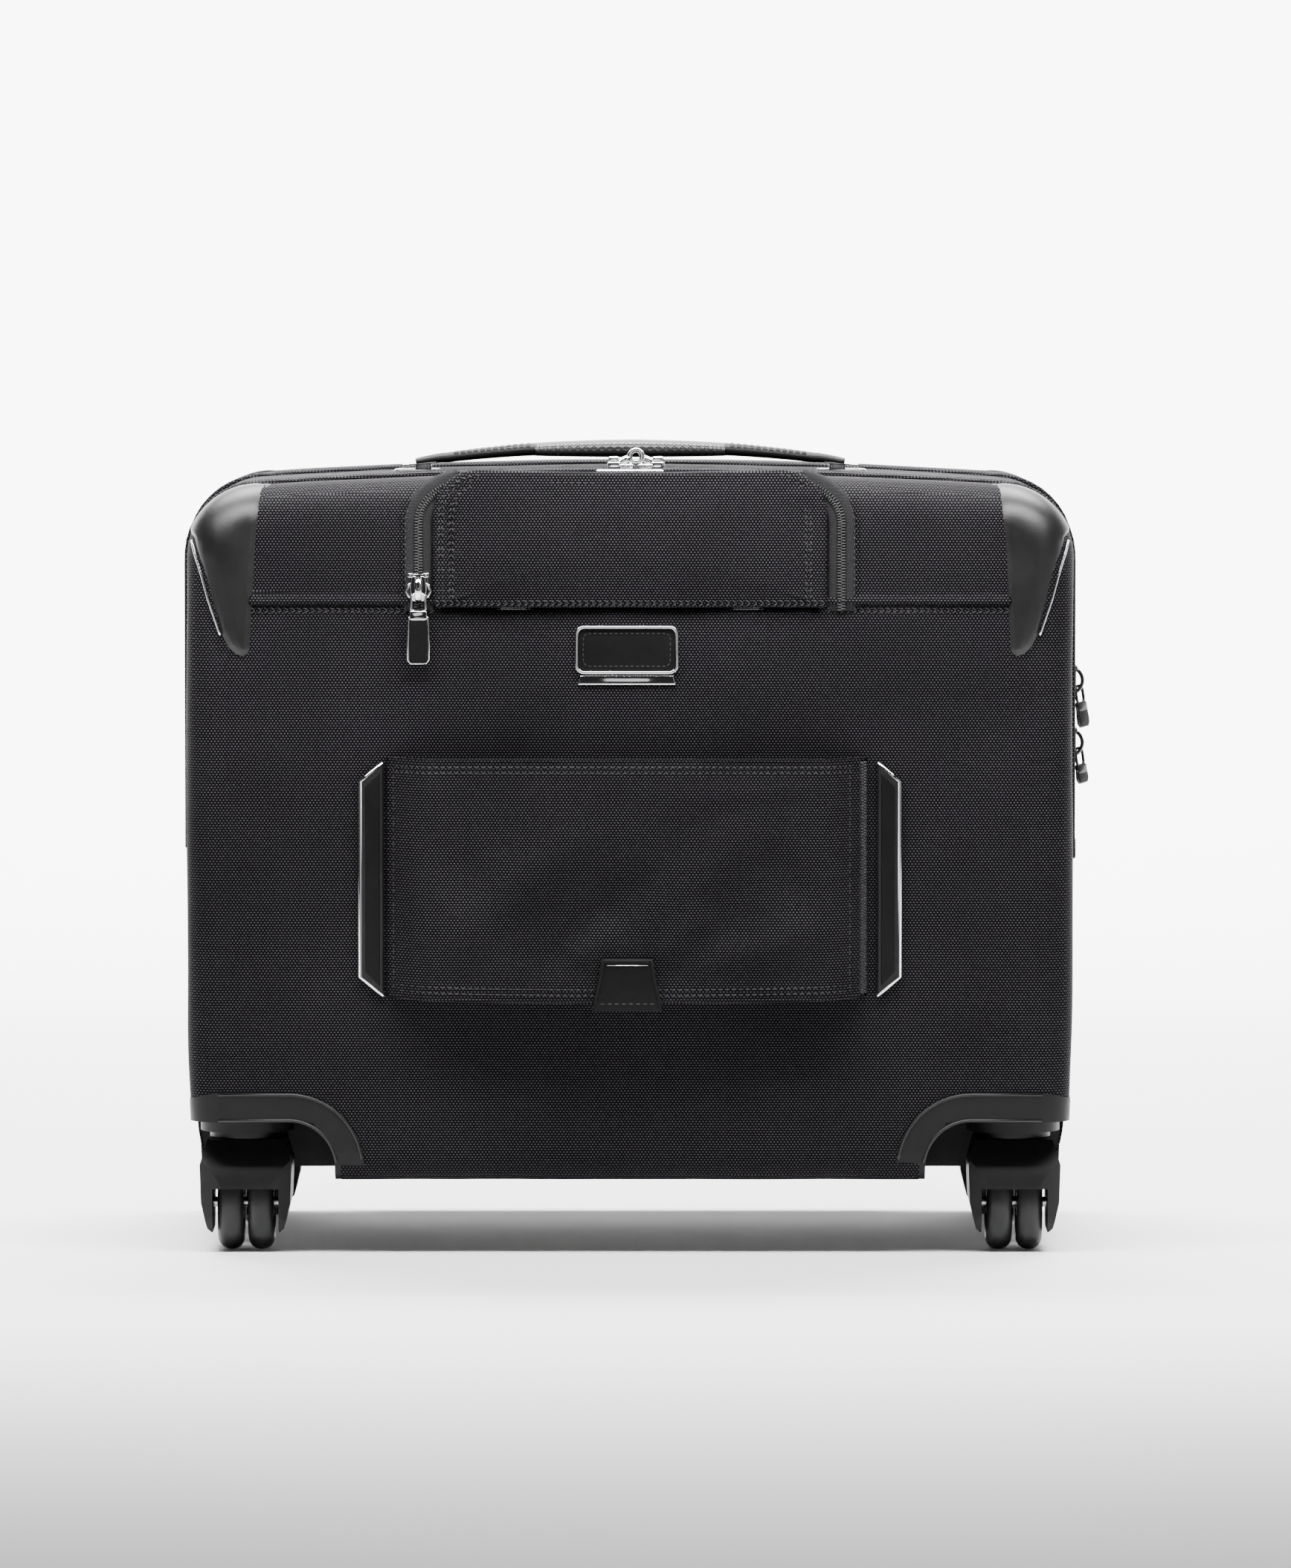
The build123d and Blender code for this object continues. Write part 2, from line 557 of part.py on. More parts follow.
# ================================================================ carry handle
CARRY_APEX_Z = 385.5
CARRY_END_Z = 379.5
CARRY_T = 6.0
CARRY_W = 26.0
CARRY_PAD_X = 47.0      # the padded grip is thicker between these
CARRY_PAD_Z = 377.3     # underside of the grip, with a finger gap below it
TIP_X = (89.0, 112.0)
TIP_Z = (371.6, 381.0)
with BuildPart() as carry_strap:
    with BuildSketch(Plane.XZ.offset(CARRY_W / 2)):
        with BuildLine():
            end_x = TIP_X[0]
            ThreePointArc((-end_x, CARRY_END_Z), (0, CARRY_APEX_Z), (end_x, CARRY_END_Z))
            Line((end_x, CARRY_END_Z), (end_x, CARRY_END_Z - CARRY_T))
            under_z = CARRY_END_Z - CARRY_T
            ThreePointArc((end_x, under_z), (0, CARRY_APEX_Z - CARRY_T), (-end_x, under_z))
            Line((-end_x, under_z), (-end_x, CARRY_END_Z))
        make_face()
        with BuildLine():
            pad_end = CARRY_END_Z - 1
            ThreePointArc((-CARRY_PAD_X, pad_end), (0, CARRY_PAD_Z), (CARRY_PAD_X, pad_end))
            Line((CARRY_PAD_X, pad_end), (CARRY_PAD_X, pad_end + 2))
            Line((CARRY_PAD_X, pad_end + 2), (-CARRY_PAD_X, pad_end + 2))
            Line((-CARRY_PAD_X, pad_end + 2), (-CARRY_PAD_X, pad_end))
        make_face()
    extrude(amount=-CARRY_W)
finish(carry_strap.part, "carry_strap")

with BuildPart() as carry_tips:
    for sign in (-1, 1):
        slab(sorted((sign * TIP_X[0], sign * TIP_X[1])), (-13.5, 13.5), TIP_Z)
    fillet(carry_tips.edges().filter_by(Axis.Z), radius=3)
    for sign in (-1, 1):
        slab(sorted((sign * 92, sign * 109)), (-9, 9), (TIP_Z[0] + 1.4, TIP_Z[1] - 1.2), mode=Mode.SUBTRACT)
        slab(sorted((sign * 96, sign * 105)), (-5, 5), (TIP_Z[0] - 1, TIP_Z[0] + 2), mode=Mode.SUBTRACT)
finish(carry_tips.part, "carry_tips")

with BuildPart() as carry_anchors:
    for sign in (-1, 1):
        slab(sorted((sign * 98, sign * 103)), (-4, 4), (366, 377.6))
        slab(sorted((sign * 94, sign * 107)), (-7.5, 7.5), (377.6, 379.3))
        slab(sorted((sign * 86, sign * 115)), (-12, 12), (366, 371.2))
    add(rear_outer, mode=Mode.SUBTRACT)
finish(carry_anchors.part, "carry_anchors")

# ================================================================ front lid
LID_REAR_Y = SPLIT_Y + LID_GAP
LID_LOW_Z = SILL_Z + 1
with BuildPart() as front_lid:
    add(envelope(0, LID_REAR_Y, FRONT_Y, front_edge=EDGE_R))
    hollow = envelope(WALL, LID_REAR_Y - 1, FRONT_Y - WALL, floor=LID_LOW_Z - 8, front_edge=EDGE_R - WALL)
    add(hollow, mode=Mode.SUBTRACT)
    slab((-300, 300), (-200, 200), (0, LID_LOW_Z), mode=Mode.SUBTRACT)
    slab((-HALF_W_LOW + 1, HALF_W_LOW - 1), (LID_REAR_Y, FRONT_Y - 2), (LID_LOW_Z, LID_LOW_Z + 3))
finish(front_lid.part, "front_lid")

with BuildPart() as lid_pocket:
    slab((-170, 170), (FRONT_Y - WALL - 12, FRONT_Y - WALL - 10), (LID_LOW_Z + 3, 250))
    fillet(lid_pocket.edges().filter_by(Axis.Y).group_by(Axis.Z)[-1], radius=16)
finish(lid_pocket.part, "lid_pocket")

POCKET_HALF = 158.0
POCKET_Z = (96.0, 292.0)
POCKET_T = 9.0
with BuildPart() as front_pocket:
    with BuildSketch(Plane.XZ.offset(-FRONT_Y - POCKET_T)):
        with Locations((0, sum(POCKET_Z) / 2)):
            RectangleRounded(2 * POCKET_HALF, POCKET_Z[1] - POCKET_Z[0], 22)
    extrude(amount=POCKET_T)
    fillet(front_pocket.faces().sort_by(Axis.Y)[-1].edges(), radius=6)
finish(front_pocket.part, "front_pocket")

POCKET_ZIP_Z = 306.0
with BuildPart() as front_pocket_zip:
    slab((-146, 146), (FRONT_Y, FRONT_Y + 1.2), (POCKET_ZIP_Z - 7, POCKET_ZIP_Z + 7))
finish(front_pocket_zip.part, "front_pocket_zip")

POCKET_SLIDER_X = -138.0
with BuildPart() as front_pocket_slider:
    slider_x = POCKET_SLIDER_X
    slider_y = FRONT_Y + 1.5
    slab((slider_x - 6, slider_x + 6), (slider_y, slider_y + 3), (POCKET_ZIP_Z - 4.5, POCKET_ZIP_Z + 4.5))
    slab((slider_x + 2, slider_x + 27), (slider_y + 3, slider_y + 4.6), (POCKET_ZIP_Z - 5, POCKET_ZIP_Z + 5))
finish(front_pocket_slider.part, "front_pocket_slider")

with BuildPart() as lid_hinge_strip:
    slab((-120, 120), (FRONT_Y, FRONT_Y + 1), (SILL_Z - 16, SILL_Z - 0.6))
finish(lid_hinge_strip.part, "lid_hinge_strip")

# ================================================================ casters
with BuildPart() as caster_mounts:
    with BuildSketch(Plane.XY.offset(WELL_ROOF_Z)):
        with GridLocations(2 * CASTER_X, 2 * CASTER_Y, 2, 2):
            Circle(18.5)
            Circle(STEM_R + RUNNING, mode=Mode.SUBTRACT)
    extrude(amount=FORK_TOP_Z + 0.4 - WELL_ROOF_Z, taper=4)
    with BuildSketch(Plane.XY.offset(WELL_ROOF_Z)):
        with GridLocations(2 * CASTER_X, 2 * CASTER_Y, 2, 2):
            Circle(COLLAR_R)
            Circle(STEM_R + RUNNING, mode=Mode.SUBTRACT)
    extrude(amount=-COLLAR_H)
finish(caster_mounts.part, "caster_mounts")


def caster_fork(x, y):
    """Moulded fork: two cheeks and a hood over the wheels, with its swivel stem."""
    side = Plane(origin=(x - FORK_W / 2, y, 0), x_dir=(0, 1, 0), z_dir=(1, 0, 0))
    slot = Plane(origin=(x - FORK_SLOT / 2, y, 0), x_dir=(0, 1, 0), z_dir=(1, 0, 0))
    back = Plane(origin=(x, y + 50, 0), x_dir=(1, 0, 0), z_dir=(0, -1, 0))
    with BuildPart() as body:
        with BuildSketch(side):
            with Locations((-TRAIL, WHEEL_R + 6)):
                Circle(HOOD_R)
            with Locations((0, FORK_TOP_Z - 4)):
                Rectangle(36, 8)
            make_hull()
        extrude(amount=FORK_W)
        with BuildSketch(back):
            with BuildLine():
                Polyline(
                    (-18.5, FORK_TOP_Z), (-22, 42), (-21.4, 24), (-18.4, FORK_LOW_Z + 2), (-16.4, FORK_LOW_Z),
                    (16.4, FORK_LOW_Z), (18.4, FORK_LOW_Z + 2), (21.4, 24), (22, 42), (18.5, FORK_TOP_Z),
                    close=True,
                )
            make_face()
        extrude(amount=100, mode=Mode.INTERSECT)
        with BuildSketch(Plane.XY):
            with Locations((x, y)):
                Circle(SWEEP_R)
        extrude(amount=FORK_TOP_Z, mode=Mode.INTERSECT)
        with BuildSketch(slot):
            with Locations((-TRAIL, WHEEL_R)):
                Circle(WHEEL_R + 0.9)
        extrude(amount=FORK_SLOT, mode=Mode.SUBTRACT)
        slot_x = (x - FORK_SLOT / 2, x + FORK_SLOT / 2)
        slab(slot_x, (y - 60, y + 60), (0, HOOD_Z), mode=Mode.SUBTRACT)
        with BuildSketch(Plane.YZ.offset(x - FORK_W)):
            with Locations((y - TRAIL, WHEEL_R)):
                Circle(AXLE_R)
        extrude(amount=2 * FORK_W, mode=Mode.SUBTRACT)
        with BuildSketch(Plane.XY.offset(FORK_TOP_Z)):
            with Locations((x, y)):
                Circle(STEM_R)
        extrude(amount=WELL_ROOF_Z - FORK_TOP_Z - 0.8)
    return body.part


def caster_axle(x, y):
    """Steel axle pressed through both cheeks."""
    with BuildPart() as body:
        with BuildSketch(Plane.YZ.offset(x - 20.4)):
            with Locations((y - TRAIL, WHEEL_R)):
                Circle(AXLE_R)
        extrude(amount=40.8)
    return body.part


def caster_wheel(x, y, side):
    """One of a pair of wheels, its tread rounded across."""
    start = x + side * WHEEL_GAP / 2 - (WHEEL_W if side < 0 else 0)
    with BuildPart() as body:
        with BuildSketch(Plane.YZ.offset(start)):
            with Locations((y - TRAIL, WHEEL_R)):
                Circle(WHEEL_R)
        extrude(amount=WHEEL_W)
        fillet(body.edges().filter_by(GeomType.CIRCLE), radius=4.5)
        with BuildSketch(Plane.YZ.offset(start)):
            with Locations((y - TRAIL, WHEEL_R)):
                Circle(AXLE_R + RUNNING)
        extrude(amount=WHEEL_W, mode=Mode.SUBTRACT)
    return body.part


for end, y in (("rear", -CASTER_Y), ("front", CASTER_Y)):
    for hand, x in (("left", -CASTER_X), ("right", CASTER_X)):
        finish(caster_fork(x, y), f"fork_{end}_{hand}")
        finish(caster_axle(x, y), f"axle_{end}_{hand}")
        finish(caster_wheel(x, y, -1), f"wheel_{end}_{hand}_a")
        finish(caster_wheel(x, y, 1), f"wheel_{end}_{hand}_b")
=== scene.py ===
"""Looks of the rolling laptop case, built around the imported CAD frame. Metres, +Z up, rear at -Y."""
import math

import bmesh
import bpy
import numpy as np
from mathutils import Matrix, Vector, noise


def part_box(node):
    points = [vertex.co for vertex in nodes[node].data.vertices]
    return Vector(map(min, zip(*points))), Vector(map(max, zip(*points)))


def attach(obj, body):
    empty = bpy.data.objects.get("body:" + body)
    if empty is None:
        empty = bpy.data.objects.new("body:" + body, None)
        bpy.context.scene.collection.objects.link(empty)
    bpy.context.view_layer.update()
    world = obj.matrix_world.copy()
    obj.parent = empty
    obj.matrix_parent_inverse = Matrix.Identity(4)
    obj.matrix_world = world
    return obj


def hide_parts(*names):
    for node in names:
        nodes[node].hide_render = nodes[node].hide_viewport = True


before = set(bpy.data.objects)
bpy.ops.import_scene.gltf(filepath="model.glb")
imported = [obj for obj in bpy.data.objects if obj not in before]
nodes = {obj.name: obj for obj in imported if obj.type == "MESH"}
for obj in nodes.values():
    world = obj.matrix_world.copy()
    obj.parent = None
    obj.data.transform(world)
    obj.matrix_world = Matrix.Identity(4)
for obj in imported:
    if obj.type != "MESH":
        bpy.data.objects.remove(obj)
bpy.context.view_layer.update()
MM = 0.001

# ---------------------------------------------------------------- places, from the frame
SHELL_LOW, SHELL_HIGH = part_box("body_shell")
LID_LOW, LID_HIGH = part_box("front_lid")
BASE_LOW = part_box("base_pan")[0]
FLAP_LOW, FLAP_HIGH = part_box("handle_flap")
SLEEVE_LOW, SLEEVE_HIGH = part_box("sleeve_panel")
HALF_W = SHELL_HIGH.x
REAR_Y = SHELL_LOW.y
SPLIT_Y = SHELL_HIGH.y
FRONT_Y = LID_HIGH.y
CROWN_Z = SHELL_HIGH.z
SEAM_Z = SHELL_LOW.z
SILL_Z = LID_LOW.z
FLOOR_Z = BASE_LOW.z
SHOULDER_DROP = 8.5 * MM
CORNER_R = 33 * MM
EDGE_R = 13 * MM
TOP_EDGE_R = 19 * MM     # the rear panel rolls over the top more softly
SKIN = 0.9 * MM          # the fabric lies this far outside the CAD shell
WALL = 4 * MM
RING = 260               # points round the case's outline
CLOTH = 0.8 * MM         # thickness of the outer fabric
COIL_PITCH = 1.35 * MM   # from tooth to tooth of every zip


# ---------------------------------------------------------------- node helpers
class Nodes:
    """Short names for building one material's node tree."""

    def __init__(self, name):
        self.material = bpy.data.materials.new(name)
        self.material.use_nodes = True
        self.tree = self.material.node_tree
        self.shader = self.tree.nodes["Principled BSDF"]

    def add(self, kind, **values):
        node = self.tree.nodes.new(kind)
        for key, value in values.items():
            setattr(node, key, value)
        return node

    def link(self, source, target):
        self.tree.links.new(source, target)

    def feed(self, socket, value):
        if hasattr(value, "is_output"):
            self.link(value, socket)
        else:
            socket.default_value = value

    def math(self, operation, a, b=0.0, c=0.0):
        node = self.add("ShaderNodeMath", operation=operation)
        for socket, value in zip(node.inputs, (a, b, c)):
            self.feed(socket, value)
        return node.outputs[0]

    def mix(self, factor, a, b):
        node = self.add("ShaderNodeMix", data_type="RGBA")
        self.feed(node.inputs[0], factor)
        self.feed(node.inputs[6], a)
        self.feed(node.inputs[7], b)
        return node.outputs[2]

    def coords(self):
        return self.add("ShaderNodeTexCoord")

    def noise(self, scale, detail=3.0, roughness=0.5, vector=None):
        node = self.add("ShaderNodeTexNoise")
        node.inputs["Scale"].default_value = scale
        node.inputs["Detail"].default_value = detail
        node.inputs["Roughness"].default_value = roughness
        self.link(vector or self.coords().outputs["Object"], node.inputs["Vector"])
        return node.outputs["Fac"]

    def ramp(self, value, low, high, out_low=0.0, out_high=1.0):
        node = self.add("ShaderNodeMapRange")
        for socket, number in zip(node.inputs, (value, low, high, out_low, out_high)):
            self.feed(socket, number)
        return node.outputs[0]

    def bump(self, height, distance, strength=1.0, under=None):
        node = self.add("ShaderNodeBump")
        node.inputs["Distance"].default_value = distance
        node.inputs["Strength"].default_value = strength
        self.link(height, node.inputs["Height"])
        if under:
            self.link(under, node.inputs["Normal"])
        return node.outputs[0]

    def face_axes(self):
        """Two coordinates along the surface, picked by which way it faces."""
        place = self.coords()
        where = self.add("ShaderNodeSeparateXYZ")
        facing = self.add("ShaderNodeSeparateXYZ")
        self.link(place.outputs["Object"], where.inputs[0])
        self.link(place.outputs["Normal"], facing.inputs[0])
        sideways = self.math("GREATER_THAN", self.math("ABSOLUTE", facing.outputs[0]), 0.72)
        upwards = self.math("GREATER_THAN", self.math("ABSOLUTE", facing.outputs[2]), 0.72)
        x_part = self.math("MULTIPLY", where.outputs[0], self.math("SUBTRACT", 1.0, sideways))
        along = self.math("MULTIPLY_ADD", where.outputs[1], sideways, x_part)
        z_part = self.math("MULTIPLY", where.outputs[2], self.math("SUBTRACT", 1.0, upwards))
        across = self.math("MULTIPLY_ADD", where.outputs[1], upwards, z_part)
        return along, across

    def set(self, **values):
        names = {"rough": "Roughness", "metal": "Metallic", "colour": "Base Color", "sheen": "Sheen Weight",
                 "sheen_rough": "Sheen Roughness", "spec": "Specular IOR Level", "coat": "Coat Weight",
                 "coat_rough": "Coat Roughness", "normal": "Normal"}
        for key, value in values.items():
            self.feed(self.shader.inputs[names[key]], value)
        return self.material


def grey(level, warm=0.0, blue=0.0):
    return (level * (1 + warm), level, level * (1 + blue), 1.0)


def woven(name, level, pitch_a, pitch_b, depth, rough, painted_highlight=6.0, spec=0.22):
    """Staggered yarn bumps of a plain woven cloth, with slow unevenness in tone; the colour is brightened
    towards each yarn top as a painted highlight and kept dark in the gaps as painted shade.
    """
    blue = 0.16
    n = Nodes(name)
    along, across = n.face_axes()
    row = n.math("DIVIDE", across, pitch_b)
    odd = n.math("MODULO", n.math("FLOOR", row), 2.0)
    column = n.math("MULTIPLY_ADD", odd, 0.5, n.math("DIVIDE", along, pitch_a))
    ridge_a = n.math("SINE", n.math("MULTIPLY", n.math("FRACT", column), math.pi))
    ridge_b = n.math("SINE", n.math("MULTIPLY", n.math("FRACT", row), math.pi))
    height = n.math("POWER", n.math("MULTIPLY", ridge_a, ridge_b), 0.7)
    slow = n.ramp(n.noise(14, 2), 0.3, 0.7, 0.82, 1.18)
    yarn = n.ramp(n.noise(900, 1), 0.3, 0.7, 0.75, 1.25)
    # painted highlight and shade: the colour runs from the dark gap tone up to a painted highlight on each
    # yarn top
    share = n.math("MULTIPLY", n.math("MULTIPLY", n.math("POWER", height, 4.0), slow), yarn)
    tone = n.mix(share, grey(level, 0.05, blue), grey(level * painted_highlight, 0.10, blue))
    fine = n.bump(n.noise(2600, 2), 0.00005, 0.4)
    return n.set(colour=tone, rough=rough, spec=spec, normal=n.bump(height, depth, 0.9, fine))


def leather(name, level, rough, grain=900, depth=0.00006, spec=0.5):
    """Smooth finished leather with a fine pebble grain and handling wear."""
    n = Nodes(name)
    cells = n.add("ShaderNodeTexVoronoi", feature="DISTANCE_TO_EDGE")
    cells.inputs["Scale"].default_value = grain
    n.link(n.coords().outputs["Object"], cells.inputs["Vector"])
    pebble = n.ramp(cells.outputs["Distance"], 0.0, 0.25)
    wear = n.noise(35, 4)
    tone = n.mix(n.ramp(wear, 0.35, 0.7), grey(level * 0.85, 0.0, 0.03), grey(level * 1.25, 0.02, 0.04))
    roughness = n.ramp(n.noise(60, 3), 0.3, 0.7, rough - 0.05, rough + 0.07)
    return n.set(colour=tone, rough=roughness, spec=spec, normal=n.bump(pebble, depth, 0.7))


def moulded(name, level, rough, grain=3200, depth=0.00004, spec=0.4):
    """Moulded plastic with a fine spark-eroded texture."""
    n = Nodes(name)
    spark = n.noise(grain, 2, 0.7)
    tone = n.mix(n.ramp(n.noise(30, 3), 0.3, 0.7), grey(level * 0.9, 0, 0.05), grey(level * 1.15, 0, 0.05))
    roughness = n.ramp(n.noise(120, 3), 0.3, 0.7, rough - 0.04, rough + 0.06)
    return n.set(colour=tone, rough=roughness, spec=spec, normal=n.bump(spark, depth, 0.6))


def polished(name, level, rough, brushed=0.0):
    """Bright plated metal with faint smudges."""
    n = Nodes(name)
    smudge = n.noise(90, 4)
    roughness = n.ramp(smudge, 0.35, 0.75, rough, rough + 0.05)
    tone = n.mix(smudge, grey(level * 0.95, 0, 0.02), grey(level, 0, 0.02))
    if brushed:
        along = n.add("ShaderNodeMapping")
        along.inputs["Scale"].default_value = (40, 3000, 3000)
        n.link(n.coords().outputs["Object"], along.inputs["Vector"])
        lines = n.noise(1, 2, 0.6, along.outputs[0])
        return n.set(colour=tone, rough=roughness, metal=1.0, normal=n.bump(lines, 0.00002, brushed))
    return n.set(colour=tone, rough=roughness, metal=1.0)


def perforated(name, level, pitch=2.1 * MM):
    """Leather punched with a staggered grid of small holes, painted dark inside as shade."""
    n = Nodes(name)
    along, across = n.face_axes()
    row = n.math("DIVIDE", across, pitch * 0.87)
    odd = n.math("MODULO", n.math("FLOOR", row), 2.0)
    column = n.math("MULTIPLY_ADD", odd, 0.5, n.math("DIVIDE", along, pitch))
    dx = n.math("SUBTRACT", n.math("FRACT", column), 0.5)
    dy = n.math("SUBTRACT", n.math("FRACT", row), 0.5)
    distance = n.math("SQRT", n.math("ADD", n.math("POWER", dx, 2.0), n.math("POWER", dy, 2.0)))
    open_hole = n.ramp(distance, 0.2, 0.3)
    # painted shade: inside each hole the colour drops to a quarter of the leather's
    tone = n.mix(open_hole, grey(level * 0.25), grey(level * 1.1, 0.02, 0.03))
    roughness = n.ramp(n.noise(70, 3), 0.3, 0.7, 0.34, 0.44)
    return n.set(colour=tone, rough=roughness, spec=0.5, normal=n.bump(open_hole, 0.0004, 0.9))


# The highlight amounts below brighten the colour of the yarn tops over the gaps: a painted highlight, with
# painted shade between the yarns.
NYLON = woven("ballistic_nylon", 0.0005, 1.62 * MM, 1.22 * MM, 0.00024, 0.55, painted_highlight=98, spec=0.03)
TAPE = woven("zip_tape_weave", 0.002, 0.9 * MM, 0.7 * MM, 0.00012, 0.6, painted_highlight=10, spec=0.2)
LINING = woven("lining_twill", 0.035, 0.8 * MM, 0.8 * MM, 0.00006, 0.55, painted_highlight=2.2)
MESH_NET = woven("pocket_net", 0.004, 2.2 * MM, 2.2 * MM, 0.0006, 0.6, painted_highlight=8)
WEBBING = woven("strap_webbing", 0.005, 1.4 * MM, 2.2 * MM, 0.0003, 0.6, painted_highlight=5)
GUARD = leather("guard_leather", 0.0045, 0.36, grain=1500, depth=0.00003, spec=0.34)
LEATHER = leather("trim_leather", 0.0022, 0.48, spec=0.12)
PUNCHED = perforated("punched_leather", 0.006, 3.9 * MM)
MOULDED = moulded("moulded_base", 0.0045, 0.48, spec=0.18)
GLOSS = moulded("glossy_moulding", 0.006, 0.24, grain=900, depth=0.00001)
TREAD = moulded("wheel_tread", 0.007, 0.45, grain=1800, depth=0.00002, spec=0.3)
CHROME = polished("polished_chrome", 0.86, 0.05)
STEEL = polished("turned_steel", 0.55, 0.24, brushed=0.5)
POST = polished("polished_post", 0.82, 0.08, brushed=0.15)
ANODISED = polished("black_anodised", 0.09, 0.3, brushed=0.3)
THREAD = leather("sewing_thread", 0.009, 0.42, grain=4000, depth=0.00003, spec=0.3)
COIL = moulded("zip_coil", 0.006, 0.34, grain=5000, spec=0.35)


# ---------------------------------------------------------------- mesh helpers
def put(name, verts, faces, material, smooth=True):
    """New mesh object from points and faces."""
    mesh = bpy.data.meshes.new(name)
    mesh.from_pydata([tuple(v) for v in verts], [], [tuple(f) for f in faces])
    mesh.validate()
    mesh.update()
    obj = bpy.data.objects.new(name, mesh)
    bpy.context.scene.collection.objects.link(obj)
    mesh.materials.append(material)
    if smooth:
        mesh.shade_smooth()
    return obj


def assign(obj, body, slot_name, *replaced):
    """Ride on a body and stand for CAD nodes, which it hides; slot_name is not used."""
    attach(obj, body)
    if replaced:
        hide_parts(*replaced)
    return obj


def apply_modifiers(obj):
    """Bake the modifiers of an object into its mesh."""
    depsgraph = bpy.context.evaluated_depsgraph_get()
    mesh = bpy.data.meshes.new_from_object(obj.evaluated_get(depsgraph))
    old = obj.data
    obj.modifiers.clear()
    obj.data = mesh
    bpy.data.meshes.remove(old)


def modifier(obj, kind, **values):
    made = obj.modifiers.new(kind.lower(), kind)
    for key, value in values.items():
        setattr(made, key, value)
    return made


def bevel(obj, width, segments=3, angle=35):
    """Soft edges by modifier, which leaves the mesh as it is."""
    modifier(obj, "BEVEL", width=width, segments=segments, limit_method="ANGLE",
             angle_limit=math.radians(angle), harden_normals=False)
    return obj


def quads(rows, wrap_rows=False, wrap_columns=False):
    """Faces between neighbouring rows of points numbered row by row."""
    count, width = rows
    faces = []
    for i in range(count if wrap_rows else count - 1):
        for j in range(width if wrap_columns else width - 1):
            a = i * width + j
            b = i * width + (j + 1) % width
            c = ((i + 1) % count) * width + (j + 1) % width
            d = ((i + 1) % count) * width + j
            faces.append((a, b, c, d))
    return faces


def sweep(name, path, section, material, ups=None, closed=False):
    """Sweep a closed section, given as (side, up) offsets, along a path of points."""
    path = [Vector(p) for p in path]
    count = len(path)
    verts = []
    up = None
    for i, point in enumerate(path):
        ahead = path[(i + 1) % count] if closed or i < count - 1 else point
        behind = path[i - 1] if closed or i > 0 else point
        tangent = (ahead - behind).normalized()
        if ups is not None:
            up = Vector(ups[i]) if len(ups) == count else Vector(ups[0])
        elif up is None:
            up = Vector((0, 0, 1)) if abs(tangent.z) < 0.8 else Vector((0, -1, 0))
        up = (up - tangent * up.dot(tangent)).normalized()
        side = tangent.cross(up)
        scale = section(i / max(1, count - 1)) if callable(section) else section
        for a, b in scale:
            verts.append(point + side * a + up * b)
    width = len(verts) // count
    faces = quads((count, width), wrap_rows=closed, wrap_columns=True)
    if not closed:
        faces.append(tuple(range(width))[::-1])
        faces.append(tuple((count - 1) * width + k for k in range(width)))
    obj = put(name, verts, faces, material)
    tidy_normals(obj)
    return obj


def tidy_normals(obj):
    mesh = bmesh.new()
    mesh.from_mesh(obj.data)
    bmesh.ops.recalc_face_normals(mesh, faces=mesh.faces)
    mesh.to_mesh(obj.data)
    mesh.free()


def round_section(radius, sides=10, flat=1.0):
    return [(radius * math.cos(t), radius * flat * math.sin(t))
            for t in (2 * math.pi * k / sides for k in range(sides))]


def strip_section(width, thick):
    """Flat strap section with rounded edges."""
    edge = 0.35
    steps = 8
    top = []
    for k in range(steps + 1):
        u = -1 + 2 * k / steps
        roll = 1 - max(0.0, (abs(u) - (1 - edge)) / edge) ** 2.2
        top.append((u * width / 2, thick * (0.35 + 0.65 * roll)))
    return top + [(width / 2, 0.0), (-width / 2, 0.0)]


def join(name, parts):
    """Join several objects into one mesh, keeping their materials."""
    mesh = bmesh.new()
    materials = []
    for part in parts:
        start = len(mesh.faces)
        mesh.from_mesh(part.data)
        mesh.faces.ensure_lookup_table()
        lookup = {}
        for index, material in enumerate(part.data.materials):
            if material not in materials:
                materials.append(material)
            lookup[index] = materials.index(material)
        for face in mesh.faces[start:]:
            face.material_index = lookup.get(face.material_index, 0)
        bpy.data.objects.remove(part)
    joined = bpy.data.meshes.new(name)
    mesh.to_mesh(joined)
    mesh.free()
    for material in materials:
        joined.materials.append(material)
    joined.shade_smooth()
    obj = bpy.data.objects.new(name, joined)
    bpy.context.scene.collection.objects.link(obj)
    return obj


def resample(path, step):
    """Points at equal steps along a path, ends included."""
    path = [Vector(p) for p in path]
    gaps = [(b - a).length for a, b in zip(path, path[1:])]
    total = sum(gaps)
    count = max(1, round(total / step))
    marks = np.linspace(0, total, count + 1)
    reach = np.concatenate([[0], np.cumsum(gaps)])
    flat = np.array([tuple(p) for p in path])
    return [Vector((np.interp(m, reach, flat[:, 0]), np.interp(m, reach, flat[:, 1]),
                    np.interp(m, reach, flat[:, 2])))
            for m in marks]


